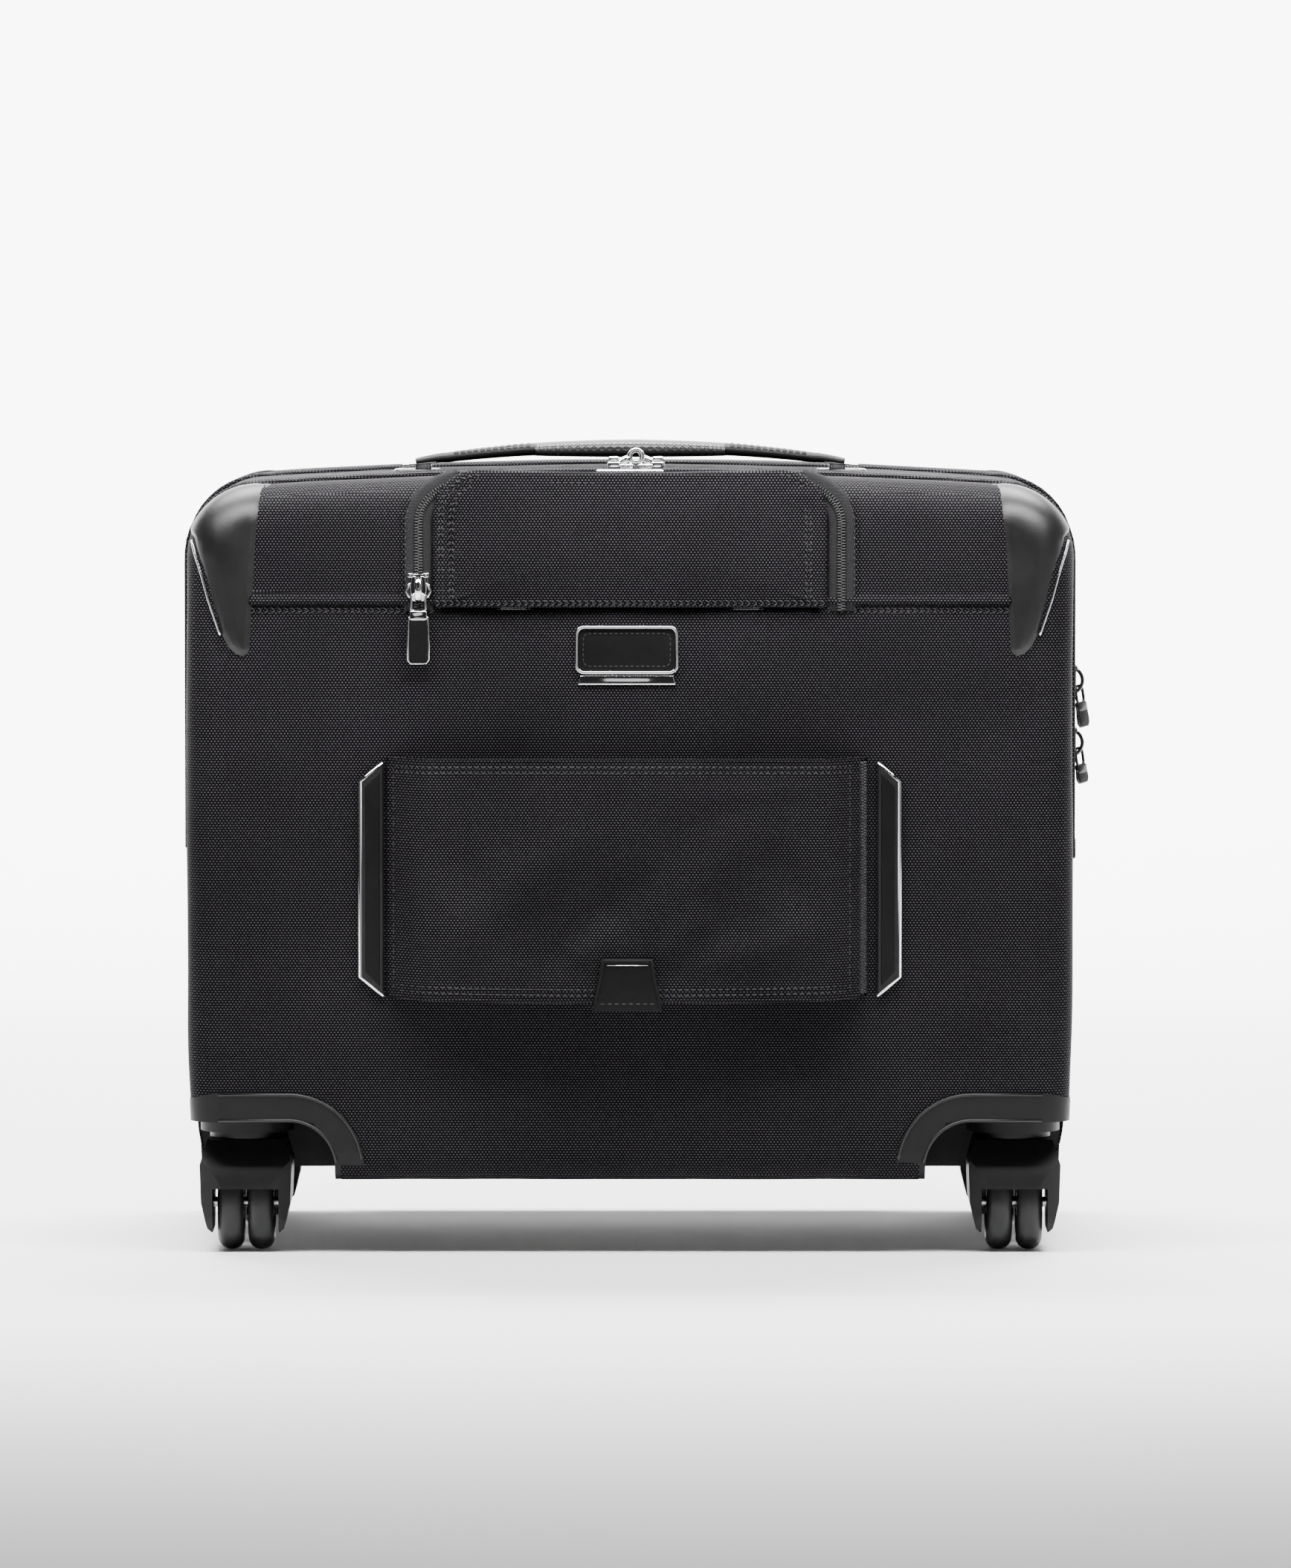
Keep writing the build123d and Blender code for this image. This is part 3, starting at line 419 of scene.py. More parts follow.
def stitch_line(name, path, up, length=2.4 * MM, gap=0.8 * MM, radius=0.34 * MM, slant=0.0):
    """A run of lock stitches: short thread capsules half sunk along a path, slanted for a braided row."""
    points = resample(path, length + gap)
    verts, faces = [], []
    rings = ((-0.5, 0.25), (-0.42, 0.8), (-0.15, 1.0), (0.15, 1.0), (0.42, 0.8), (0.5, 0.25))
    sides = 6
    for here, there in zip(points, points[1:]):
        tangent = (there - here).normalized()
        lift = Vector(up)
        lift = (lift - tangent * lift.dot(tangent)).normalized()
        tangent = tangent * math.cos(slant) + tangent.cross(lift) * math.sin(slant)
        across = tangent.cross(lift)
        middle = (here + there) / 2
        start = len(verts)
        for along, size in rings:
            dip = -radius * 1.1 * (abs(along) * 2) ** 3
            for k in range(sides):
                t = 2 * math.pi * k / sides
                offset = (across * math.cos(t) * radius * size
                          + lift * (math.sin(t) * radius * size * 0.8 + dip))
                verts.append(middle + tangent * along * length + offset)
        for face in quads((len(rings), sides), wrap_columns=True):
            faces.append(tuple(start + v for v in face))
        faces.append(tuple(start + v for v in range(sides))[::-1])
        faces.append(tuple(start + (len(rings) - 1) * sides + v for v in range(sides)))
    return put(name, verts, faces, THREAD)


def coil_chain(name, path, up, width=4.2 * MM):
    """Zip coil: two interlocked rows of rounded teeth along a path."""
    points = resample(path, COIL_PITCH)
    verts, faces = [], []
    ball = ((-0.5, 0.35), (-0.3, 0.9), (0.1, 1.0), (0.42, 0.85), (0.5, 0.4))
    sides = 6
    ups = [Vector(u) for u in up] if len(up) == len(points) and not isinstance(up[0], (int, float)) else None
    for i, (here, there) in enumerate(zip(points, points[1:])):
        tangent = (there - here).normalized()
        lift = ups[i] if ups else Vector(up)
        lift = (lift - tangent * lift.dot(tangent)).normalized()
        across = tangent.cross(lift)
        for hand in (-1, 1):
            middle = here + tangent * COIL_PITCH * (0.25 if hand < 0 else 0.75) + across * hand * width * 0.22
            start = len(verts)
            for along, size in ball:
                for k in range(sides):
                    t = 2 * math.pi * k / sides
                    spot = (tangent * math.cos(t) * COIL_PITCH * 0.42 * size
                            + lift * math.sin(t) * COIL_PITCH * 0.55 * size)
                    verts.append(middle - across * hand * along * width * 0.62 + spot)
            for face in quads((len(ball), sides), wrap_columns=True):
                faces.append(tuple(start + v for v in face))
            faces.append(tuple(start + v for v in range(sides))[::-1])
            faces.append(tuple(start + (len(ball) - 1) * sides + v for v in range(sides)))
    return put(name, verts, faces, COIL)


def cut(obj, low, high):
    """Cut a box out of an object."""
    corners = [(x, y, z) for x in (low[0], high[0]) for y in (low[1], high[1]) for z in (low[2], high[2])]
    faces = [(0, 1, 3, 2), (4, 6, 7, 5), (0, 4, 5, 1), (2, 3, 7, 6), (0, 2, 6, 4), (1, 5, 7, 3)]
    cut_with(obj, put("cutter", corners, faces, MOULDED, smooth=False))


def cut_with(obj, cutter):
    tidy_normals(cutter)
    modifier(obj, "BOOLEAN", object=cutter, operation="DIFFERENCE", solver="EXACT")
    apply_modifiers(obj)
    bpy.data.objects.remove(cutter)


# ---------------------------------------------------------------- the case's outline
CROWN_DROP = SHOULDER_DROP
LOW_HALF = HALF_W - 3.2 * MM
BULGE_Z = 120 * MM


def left_outline(out, floor, low_r):
    """Left half of the outline seen from behind, from the middle of the floor to the middle of the top."""
    wide = HALF_W + out
    low = LOW_HALF + out
    crown = CROWN_Z + out
    base = floor - out
    radius = CORNER_R + out
    points = [(-x, base) for x in np.linspace(0, low - low_r, 40)]
    for a in np.linspace(0, math.pi / 2, 9)[1:]:
        points.append((-low + low_r - low_r * math.sin(a), base + low_r - low_r * math.cos(a)))
    tilt = math.atan(2 * CROWN_DROP / HALF_W)
    turn_x = -wide + radius + radius * math.sin(-tilt)
    turn_z = crown - CROWN_DROP * (turn_x / HALF_W) ** 2
    centre_z = turn_z - radius * math.cos(tilt)
    heights = np.linspace(base + low_r, centre_z, 60)[1:]
    for z in heights:
        share = min(1.0, max(0.0, (z - base) / (BULGE_Z - base)))
        points.append((-(low + (wide - low) * math.sin(share * math.pi / 2)), z))
    for a in np.linspace(0, math.pi / 2 + tilt, 18)[1:]:
        points.append((-wide + radius - radius * math.cos(a), centre_z + radius * math.sin(a)))
    for x in np.linspace(turn_x, 0, 40)[1:]:
        points.append((x, crown - CROWN_DROP * (x / HALF_W) ** 2))
    return points


def outline(out, floor, low_r=14 * MM, count=RING):
    """Whole outline as evenly spaced (x, z) points, starting at the middle of the floor."""
    half = np.array(left_outline(out, floor, low_r))
    reach = np.concatenate([[0], np.cumsum(np.hypot(*np.diff(half, axis=0).T))])
    marks = np.linspace(0, reach[-1], count // 2 + 1)
    left = np.stack([np.interp(marks, reach, half[:, 0]), np.interp(marks, reach, half[:, 1])], axis=1)
    right = left[1:-1][::-1] * (-1, 1)
    return np.concatenate([left, right])


def swell(point, amount, scale, seed):
    """Slow unevenness of soft fabric, the same each run."""
    return amount * noise.noise(Vector((point[0] * scale + seed, point[1] * scale, point[2] * scale)))


def case_skin(name, out, floor, stations, face_y, edge_r, material, soft=0.5 * MM, low_r=14 * MM, sag=0.0,
              top_r=None):
    """Fabric skin round the case: straight rings at the stations, a rolled edge, then the flat face."""
    toward = -1 if face_y < stations[0] else 1
    verts = [Vector((x, y, z)) for y in stations for x, z in outline(out, floor, low_r)]
    rolls = (edge_r + out, (top_r or edge_r) + out)
    for a in np.linspace(0, math.pi / 2, 9):
        pair = []
        for rolled in rolls:
            inset = rolled * (1 - math.cos(a))
            flat = outline(out - inset, floor, max(low_r - inset, 2 * MM))
            y = face_y + toward * out - toward * rolled * (1 - math.sin(a))
            pair.append([Vector((x, y, z)) for x, z in flat])
        share = [min(1, max(0, (p.z - 0.30) / 0.05)) for p in pair[0]]
        ring = [p.lerp(q, w * w * (3 - 2 * w)) for p, q, w in zip(*pair, share)]
        verts += ring
    edge = [(p.x, p.z) for p in ring]
    centre = Vector((0, 0, (CROWN_Z + floor) / 2))
    shares = np.linspace(1, 0, 26)[1:-1]
    for share in shares:
        for x, z in edge:
            spot = centre.lerp(Vector((x, 0, z)), share)
            verts.append(Vector((spot.x, face_y + toward * (out + sag * (1 - share ** 2)), spot.z)))
    count = len(verts) // RING
    faces = quads((count, RING), wrap_columns=True)
    verts.append(Vector((0, face_y + toward * (out + sag), centre.z)))
    last = (count - 1) * RING
    faces += [(last + k, last + (k + 1) % RING, len(verts) - 1) for k in range(RING)]
    obj = put(name, verts, faces, material)
    tidy_normals(obj)
    for vertex in obj.data.vertices:
        lift = swell(vertex.co, soft, 13, 3) + swell(vertex.co, soft * 0.5, 31, 8)
        lower = max(0.0, 1 - (vertex.co.z - floor) / 0.09)
        lift += lower * swell(vertex.co, soft * 1.6, 26, 5)
        calm = min(1.0, abs(vertex.co.y - stations[0]) / 0.02)
        vertex.co += vertex.normal * lift * calm
    return obj


def thicken(obj, depth):
    """Give a skin its thickness, inwards."""
    modifier(obj, "SOLIDIFY", thickness=depth, offset=-1)
    apply_modifiers(obj)


WELL_X = 141 * MM
WELL_END_Y = 38.5 * MM
WELL_ROOF = 63.6 * MM
WELL_ROUND = 22 * MM
ARCH_TUCK = 3 * MM


def cut_arch(obj, side_x, y_span):
    """Cut one wheel arch through a skin, from the outer side to the rounded inner corner."""
    inner = WELL_X - ARCH_TUCK
    roof = WELL_ROOF + ARCH_TUCK
    radius = WELL_ROUND + ARCH_TUCK
    shape = [(HALF_W + 0.03, 0.0), (HALF_W + 0.03, roof)]
    for a in np.linspace(0, math.pi / 2, 9):
        shape.append((inner + radius - radius * math.sin(a), roof - radius + radius * math.cos(a)))
    shape.append((inner, 0.0))
    verts = [(side_x * x, y, z) for y in y_span for x, z in shape]
    width = len(shape)
    faces = quads((2, width), wrap_columns=True) + [tuple(range(width)), tuple(range(width, 2 * width))]
    cut_with(obj, put("cutter", verts, faces, MOULDED, smooth=False))


def trim(obj, point, normal):
    """Cut away what lies on the normal's side of a plane."""
    mesh = bmesh.new()
    mesh.from_mesh(obj.data)
    bmesh.ops.bisect_plane(mesh, geom=mesh.verts[:] + mesh.edges[:] + mesh.faces[:], plane_co=point,
                           plane_no=normal, clear_outer=True)
    mesh.to_mesh(obj.data)
    mesh.free()


def ring_path(y, out, low_z):
    """Path over the case at one depth, left to right over the top, with its outward directions."""
    points = [Vector((x, y, z)) for x, z in outline(out, FLOOR_Z)]
    count = len(points)
    ups = []
    for k in range(count):
        ahead, behind = points[(k + 1) % count], points[k - 1]
        tangent = (ahead - behind).normalized()
        ups.append(Vector((-tangent.z, 0, tangent.x)))
    middle = points[RING // 2]
    if ups[RING // 2].z < 0:
        ups = [-u for u in ups]
    keep = [k for k in range(count) if points[k].z > low_z and not (points[k].z < middle.z - 0.1 and
            abs(points[k].x) < HALF_W * 0.8)]
    return [points[k] for k in keep], [ups[k] for k in keep]


# ---------------------------------------------------------------- fabric body
def build_body():
    """Outer fabric, lining, rim and base cover of the body and of the lid."""
    stations = list(np.linspace(SPLIT_Y, REAR_Y + TOP_EDGE_R + 2 * MM, 15))
    body = case_skin("body_cover", SKIN, FLOOR_Z, stations, REAR_Y, EDGE_R, NYLON, sag=0.5 * MM,
                     top_r=TOP_EDGE_R)
    thicken(body, CLOTH)
    well_low, well_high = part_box("handle_well")
    cut(body, (well_low.x + 1.6 * MM, -0.2, FLAP_LOW.z - 1.5 * MM),
        (well_high.x - 1.6 * MM, well_high.y - 1.8 * MM, 0.5))
    for side_x in (-1, 1):
        cut_arch(body, side_x, (-0.2, -WELL_END_Y - ARCH_TUCK * 0.3))
    trim(body, (0, 0, FLOOR_Z + 0.4 * MM), (0, 0, -1))
    assign(body, "case", "nylon", "body_shell")

    sill = case_skin("base_front_cover", SKIN, FLOOR_Z,
                     list(np.linspace(SPLIT_Y + 1 * MM, FRONT_Y - EDGE_R, 6))[:-1],
                     FRONT_Y, EDGE_R, NYLON, soft=0.25 * MM)
    trim(sill, (0, 0, SILL_Z - 1.4 * MM), (0, 0, 1))
    trim(sill, (0, 0, FLOOR_Z + 0.4 * MM), (0, 0, -1))
    thicken(sill, CLOTH)
    for side_x in (-1, 1):
        cut_arch(sill, side_x, (WELL_END_Y + ARCH_TUCK * 0.3, 0.2))
    assign(sill, "case", "nylon")

    lid = case_skin("lid_cover", SKIN, SILL_Z + 1.2 * MM,
                    list(np.linspace(LID_LOW.y, FRONT_Y - EDGE_R, 8))[:-1],
                    FRONT_Y, EDGE_R, NYLON, low_r=6 * MM, sag=1.2 * MM)
    thicken(lid, CLOTH)
    assign(lid, "lid", "nylon", "front_lid")

    lining = []
    for ring_y in np.linspace(SPLIT_Y - 0.6 * MM, REAR_Y + 0.029, 12):
        lining += [Vector((x, ring_y, z)) for x, z in outline(-WALL, SEAM_Z + WALL + 0.6 * MM, 8 * MM)]
    inside = put("body_lining", lining, quads((12, RING), wrap_columns=True), LINING)
    assign(inside, "case", "lining")
    lid_rings = [(-WALL, LID_LOW.y + 0.6 * MM), (-WALL, FRONT_Y - 0.02), (-WALL - 3 * MM, FRONT_Y - 0.008),
                 (-WALL - 10 * MM, FRONT_Y - WALL), (-0.06, FRONT_Y - WALL), (-0.12, FRONT_Y - WALL)]
    verts = []
    for ring_out, ring_y in lid_rings:
        low_r = max(2 * MM, 8 * MM + ring_out + WALL)
        verts += [Vector((x, ring_y, z)) for x, z in outline(ring_out, SILL_Z + 2 * MM, low_r)]
    faces = quads((len(lid_rings), RING), wrap_columns=True)
    faces.append(tuple((len(lid_rings) - 1) * RING + k for k in range(RING)))
    assign(put("lid_lining", verts, faces, LINING), "lid", "lining")
    for name, body_name, y, floor in (("body_rim", "case", SPLIT_Y - 1.3 * MM, SEAM_Z),
                                      ("lid_rim", "lid", LID_LOW.y + 1.3 * MM, SILL_Z + 1.2 * MM)):
        ring = outline(-WALL / 2, floor, 6 * MM)
        path = [Vector((x, y, z)) for x, z in ring if z > floor + 4 * MM or body_name == "lid"]
        if body_name == "case":
            start = max(range(len(ring)), key=lambda k: -ring[k][1] if ring[k][0] >= 0 else -9)
            path = [Vector((x, y, z)) for x, z in np.roll(ring, -start, axis=0) if z > floor + 4 * MM]
        rim = sweep(name, path, round_section(2.5 * MM, 8, 0.45), TAPE, ups=[Vector((0, 1, 0))],
                    closed=body_name == "lid")
        assign(rim, body_name, "zip_tape")


def cushion(name, shape, back_y, depth, roll, crown, material, facing=-1, rings=9):
    """Padded panel over a closed outline of (x, z) points: rolled edge and crowned face."""
    shape = np.array(shape)
    centre = (shape.max(axis=0) + shape.min(axis=0)) / 2
    size = (shape.max(axis=0) - shape.min(axis=0)) / 2
    stations = [(1.2 * MM, 0.0, 1.0)]
    for a in np.linspace(-0.5, math.pi / 2, 8):
        stations.append((roll * (1 - math.cos(a)), depth * (0.32 + 0.68 * math.sin(a)), 1.0))
    for share in np.linspace(1, 0, rings)[1:-1]:
        stations.append((roll, depth + crown * (1 - share ** 2.4), share))
    verts = []
    for inset, height, share in stations:
        scale = (size - inset) / size * share
        verts += [Vector((x, back_y + facing * height, z)) for x, z in centre + (shape - centre) * scale]
    width = len(shape)
    faces = quads((len(stations), width), wrap_columns=True)
    faces.append(tuple(range(width))[::-1])
    verts.append(Vector((centre[0], back_y + facing * (depth + crown), centre[1])))
    last = (len(stations) - 1) * width
    faces += [(last + k, last + (k + 1) % width, len(verts) - 1) for k in range(width)]
    obj = put(name, verts, faces, material)
    tidy_normals(obj)
    return obj


def rounded_shape(x_span, z_span, radii, step=3 * MM):
    """Rounded rectangle as (x, z) points; radii at low left, low right, high right, high left."""
    corners = ((x_span[0], z_span[0], radii[0], math.pi), (x_span[1], z_span[0], radii[1], 1.5 * math.pi),
               (x_span[1], z_span[1], radii[2], 0.0), (x_span[0], z_span[1], radii[3], 0.5 * math.pi))
    middle = (sum(x_span) / 2, sum(z_span) / 2)
    arcs = []
    for x, z, radius, start in corners:
        cx = x + (radius if x < middle[0] else -radius)
        cz = z + (radius if z < middle[1] else -radius)
        steps = max(3, int(radius / (1.2 * MM)))
        for a in np.linspace(start, start + math.pi / 2, min(steps, 10)):
            arcs.append((cx + radius * math.cos(a), cz + radius * math.sin(a)))
    dense = []
    for here, there in zip(arcs, arcs[1:] + arcs[:1]):
        gap = math.dist(here, there)
        parts = max(1, int(gap / step))
        for k in range(parts):
            dense.append((here[0] + (there[0] - here[0]) * k / parts,
                          here[1] + (there[1] - here[1]) * k / parts))
    return dense


FACE_Y = REAR_Y - SKIN      # outside of the rear fabric


def build_flap():
    """Padded flap over the handle well, its stitching, hem and both zip runs."""
    low, high = FLAP_LOW, FLAP_HIGH
    half = high.x + 0.4 * MM
    shape = [(x, z) for x, z in
             rounded_shape((-half, half), (low.z - 0.5 * MM, high.z), (1.5 * MM, 1.5 * MM, 23 * MM, 23 * MM))]
    top = high.z
    shape = [(x, z - 2.2 * MM * math.cos(x / half * math.pi / 2) * max(0.0, (z - top + 0.012) / 0.012))
             for x, z in shape]
    flap = cushion("flap_pad", shape, high.y - 0.2 * MM, 3.6 * MM, 3.2 * MM, 2.2 * MM, NYLON, rings=12)
    for vertex in flap.data.vertices:
        if vertex.co.y < low.y + 1.5 * MM:
            vertex.co.y += swell(vertex.co, 1.1 * MM, 24, 2) - 0.3 * MM
            reach = half - abs(vertex.co.x)
            vertex.co.y += 1.3 * MM * math.exp(-((reach - 11.5 * MM) / (2.4 * MM)) ** 2)
    modifier(flap, "SUBSURF", levels=1, render_levels=1)
    apply_modifiers(flap)
    assign(flap, "flap", "nylon", "handle_flap")
    face = low.y - 0.35 * MM
    parts = []
    for hand in (-1, 1):
        for offset, slant in ((3.0 * MM, 0.6), (4.9 * MM, -0.6), (8.0 * MM, 0.6), (9.9 * MM, -0.6)):
            x = hand * (half - offset)
            arc_r = 23 * MM - offset
            lift = 0.1 * MM if offset < 5 * MM else 0.3 * MM
            path = [(x, face - lift, z) for z in np.linspace(low.z + 3 * MM, top - 23 * MM, 12)]
            for a in np.linspace(0, math.pi / 2, 8)[1:]:
                path.append((hand * (half - 23 * MM) + hand * arc_r * math.cos(a), face - 0.2 * MM,
                             top - 23 * MM + arc_r * math.sin(a) - 0.6 * MM * math.sin(a)))
            parts.append(stitch_line("stitch", path, (0, -1, 0), slant=slant))
    hem = [(x, face - 0.1 * MM, top - 5.4 * MM - 2.2 * MM * math.cos(x / half * math.pi / 2))
           for x in np.linspace(-half + 23 * MM, half - 23 * MM, 40)]
    parts.append(stitch_line("stitch", hem, (0, -1, 0)))
    assign(join("flap_stitching", parts), "flap", "nylon")

    tape_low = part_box("flap_zip_tapes")[0]
    for hand, side in ((-1, "left"), (1, "right")):
        coil_x = hand * 100.6 * MM
        run = [(coil_x, FACE_Y - 0.1 * MM, z) for z in np.linspace(tape_low.z - 0.5 * MM, top - 26 * MM, 10)]
        for a in np.linspace(0, math.pi * 0.42, 9)[1:]:
            run.append((coil_x - hand * 26 * MM * (1 - math.cos(a)),
                        FACE_Y - 0.1 * MM + 3.5 * MM * (a / 1.3) ** 3,
                        top - 26 * MM + 19 * MM * math.sin(a)))
        tape = sweep(f"flap_zip_tape_{side}", run, strip_section(14 * MM, 1.0 * MM), TAPE,
                     ups=[Vector((0, -1, 0))])
        chain = coil_chain(f"flap_zip_coil_{side}", [Vector(p) + Vector((0, -1.1 * MM, 0)) for p in run],
                           (0, -1, 0))
        outer = [Vector(p) + Vector((hand * 6.2 * MM, -0.75 * MM, 0)) for p in run]
        seam = stitch_line("stitch", outer, (0, -1, 0))
        rope = sweep("piping", [Vector(p) + Vector((hand * 7.6 * MM, 0.3 * MM, 0)) for p in run],
                     round_section(1.1 * MM), NYLON)
        if hand < 0:
            assign(tape, "case", "zip_tape", "flap_zip_tapes")
        else:
            assign(tape, "case", "zip_tape")
        assign(chain, "case", "zip_tape")
        assign(join(f"flap_zip_edge_{side}", [seam, rope]), "case", "nylon")


def build_rear_seam():
    """Upper rear fabric lapped over the lower panel, from guard to guard, with its top stitching."""
    seam_z = 313.6 * MM
    lap = [(-4, -0.1), (-2, 0.5), (0, 1.3), (1.2, 1.8), (2.1, 1.6), (2.5, 0.9), (2.2, -0.1), (0, -0.4)]
    fold_section = [(u * MM, v * MM) for u, v in lap]
    for side, span in (("left", (-181, -93)), ("middle", (-93, 93)), ("right", (93, 181))):
        on_flap = side == "middle"
        body = "flap" if on_flap else "case"
        face = FLAP_LOW.y - 0.4 * MM if on_flap else FACE_Y - 0.1 * MM
        height = FLAP_LOW.z + 7.2 * MM if on_flap else seam_z
        path = [(x * MM, face + 0.4 * MM * noise.noise(Vector((x * 0.02, 0, 7))), height)
                for x in np.linspace(*span, 60)]
        if not on_flap:
            fold = sweep(f"rear_seam_lap_{side}", path, fold_section, NYLON, ups=[Vector((0, -1, 0))])
            assign(fold, body, "nylon")
        rows = []
        for drop, slant in ((4.6 * MM, 0.5), (6.2 * MM, -0.5)):
            row = [Vector(p) + Vector((0, -0.5 * MM, -drop)) for p in path]
            rows.append(stitch_line("stitch", row, (0, -1, 0), slant=slant))
        name = "flap_hem_stitching" if on_flap else f"rear_seam_stitching_{side}"
        assign(join(name, rows), body, "nylon")


# ---------------------------------------------------------------- small shapes on a local frame
class Place:
    """Local axes on the case: across, along and outwards."""

    def __init__(self, origin, across, along):
        self.origin = Vector(origin)
        self.across = Vector(across)
        self.along = Vector(along)
        self.out = self.across.cross(self.along)

    def at(self, a, b, c):
        return self.origin + self.across * a * MM + self.along * b * MM + self.out * c * MM


def prism(place, shape, low, high, material, soft=0.3, name="prism"):
    """Rounded-edge plate from a closed outline in the place's own millimetres."""
    count = len(shape)
    verts = [place.at(a, b, c) for c in (low, high) for a, b in shape]
    faces = [tuple(range(count))[::-1], tuple(range(count, 2 * count))] + quads((2, count), wrap_columns=True)
    obj = put(name, verts, faces, material)
    tidy_normals(obj)
    if soft:
        bevel(obj, soft * MM, 3, 30)
        apply_modifiers(obj)
    return obj


def wire(place, points, radius, material, closed=False, sides=10, flat=1.0, name="wire"):
    """Round bar through points given in the place's own millimetres."""
    path = [place.at(*p) for p in points]
    return sweep(name, path, round_section(radius * MM, sides, flat), material, ups=[place.out],
                 closed=closed)


def round_rect(width, height, radius, middle=(0, 0)):
    """Rounded rectangle as points, counter-clockwise."""
    steps = 6
    points = []
    for cx, cy, start in ((1, -1, -90), (1, 1, 0), (-1, 1, 90), (-1, -1, 180)):
        for k in range(steps + 1):
            t = math.radians(start + 90 * k / steps)
            points.append((middle[0] + cx * (width / 2 - radius) + radius * math.cos(t),
                           middle[1] + cy * (height / 2 - radius) + radius * math.sin(t)))
    return points


def ring_plate(place, outer, inner, low, high, material, soft=0.25, name="ring_plate"):
    """Flat frame between two outlines with the same number of points."""
    count = len(outer)
    verts = [place.at(a, b, c) for c in (low, high) for shape in (outer, inner) for a, b in shape]
    faces = []
    for k in range(count):
        n = (k + 1) % count
        faces.append((k, n, count + n, count + k))
        faces.append((2 * count + k, 3 * count + k, 3 * count + n, 2 * count + n))
        faces.append((k, 2 * count + k, 2 * count + n, n))
        faces.append((count + k, count + n, 3 * count + n, 3 * count + k))
    obj = put(name, verts, faces, material)
    tidy_normals(obj)
    bevel(obj, soft * MM, 3, 30)
    apply_modifiers(obj)
    return obj


# ---------------------------------------------------------------- corner guards
GUARD_EDGE = [(-175.0, 395), (-176.0, 358), (-177.6, 345), (-179.2, 317), (-180.2, 298), (-180.7, 289.6),
              (-181.9, 287.0), (-184.2, 286.0), (-187.6, 287.0), (-191.3, 290.6), (-194.5, 296.8),
              (-200.0, 313.0),
              (-203.4, 325.5), (-206.5, 335.0), (-208.4, 342.0), (-216, 350), (-225, 352), (-225, 395)]
GUARD_R = 19 * MM


def inside_distance(points, shape):
    """How far (x, z) points lie inside a closed outline; negative outside."""
    points = np.array(points)
    best = np.full(len(points), 1e9)
    inside = np.zeros(len(points), bool)
    for (ax, az), (bx, bz) in zip(shape, shape[1:] + shape[:1]):
        ex, ez = bx - ax, bz - az
        t = np.clip(((points[:, 0] - ax) * ex + (points[:, 1] - az) * ez) / (ex * ex + ez * ez), 0, 1)
        best = np.minimum(best, np.hypot(points[:, 0] - ax - ex * t, points[:, 1] - az - ez * t))
        if az != bz:
            crossed = (points[:, 1] < az) != (points[:, 1] < bz)
            inside ^= crossed & (points[:, 0] < ax + (points[:, 1] - az) / (bz - az) * ex)
    return np.where(inside, best, -best)


def corner_guard(name, hand, face_y, toward, back_y, lift):
    """Moulded cap over one top corner: rolled edges, domed back and a crease to its top facet."""
    rings = [(lift, y, 1.0) for y in np.linspace(back_y, face_y + toward * (lift - GUARD_R), 26)[:-1]]
    for a in np.linspace(0, math.pi / 2, 20):
        flat = a / (math.pi / 2)
        inward = GUARD_R * (0.8 * (1 - math.cos(a)) + 0.2 * flat)
        outward = GUARD_R * (0.8 * (1 - math.sin(a)) + 0.2 * (1 - flat))
        rings.append((lift - inward, face_y + toward * (lift - outward), 1.0))
    rings += [(lift - GUARD_R, face_y + toward * lift, share) for share in np.linspace(1, 0, 42)[1:]]
    fine = 1600
    ends = outline(0, FLOOR_Z, count=fine)
    keep = [k for k in range(fine // 2) if ends[k][1] > 0.279 and ends[k][0] < -0.1715]
    spots = []
    for ring_out, y, share in rings:
        ring = outline(ring_out, FLOOR_Z, count=fine)
        for k in keep:
            x, z = ring[k]
            if share < 1:
                x = -0.172 + (x + 0.172) * share
                z = z if z < 0.335 else z + (min(z, 0.34) - z) * (1 - share)
            spots.append((x, y, z))
    spots = np.array(spots)
    reach = toward * (spots[:, 1] - back_y) / MM
    depth = np.minimum(inside_distance(spots[:, (0, 2)] / MM, GUARD_EDGE), reach)
    sink = lift * (1 - np.clip((depth + 0.9) / 3.6, 0, 1) ** 0.5) * 1.35
    on_face = np.clip((toward * (spots[:, 1] - face_y) + GUARD_R) / (lift + GUARD_R), 0, 1)[:, None]
    on_face = on_face ** 2 * (3 - 2 * on_face)
    push = 2.2 * MM * on_face[:, 0] * np.sin(np.clip(depth / 13, 0, 1) * math.pi / 2) - sink
    normal = np.stack([spots[:, 0], 0 * depth, (spots[:, 2] - 0.33) * 1.2], axis=1)
    normal /= np.linalg.norm(normal, axis=1)[:, None]
    normal = normal * (1 - on_face) + np.array((0, toward, 0)) * on_face
    normal /= np.linalg.norm(normal, axis=1)[:, None]
    placed = spots + normal * push[:, None]
    placed[:, 0] *= -hand
    faces = [f for f in quads((len(rings), len(keep))) if max(depth[list(f)]) > -1.4]
    obj = put(name, placed, faces, GUARD)
    mesh = bmesh.new()
    mesh.from_mesh(obj.data)
    bmesh.ops.delete(mesh, geom=[v for v in mesh.verts if not v.link_faces], context="VERTS")
    bmesh.ops.recalc_face_normals(mesh, faces=mesh.faces)
    probe = max(mesh.faces, key=lambda f: toward * f.calc_center_median().y)
    if probe.normal.y * toward < 0:
        bmesh.ops.reverse_faces(mesh, faces=mesh.faces)
    mesh.to_mesh(obj.data)
    mesh.free()
    return obj


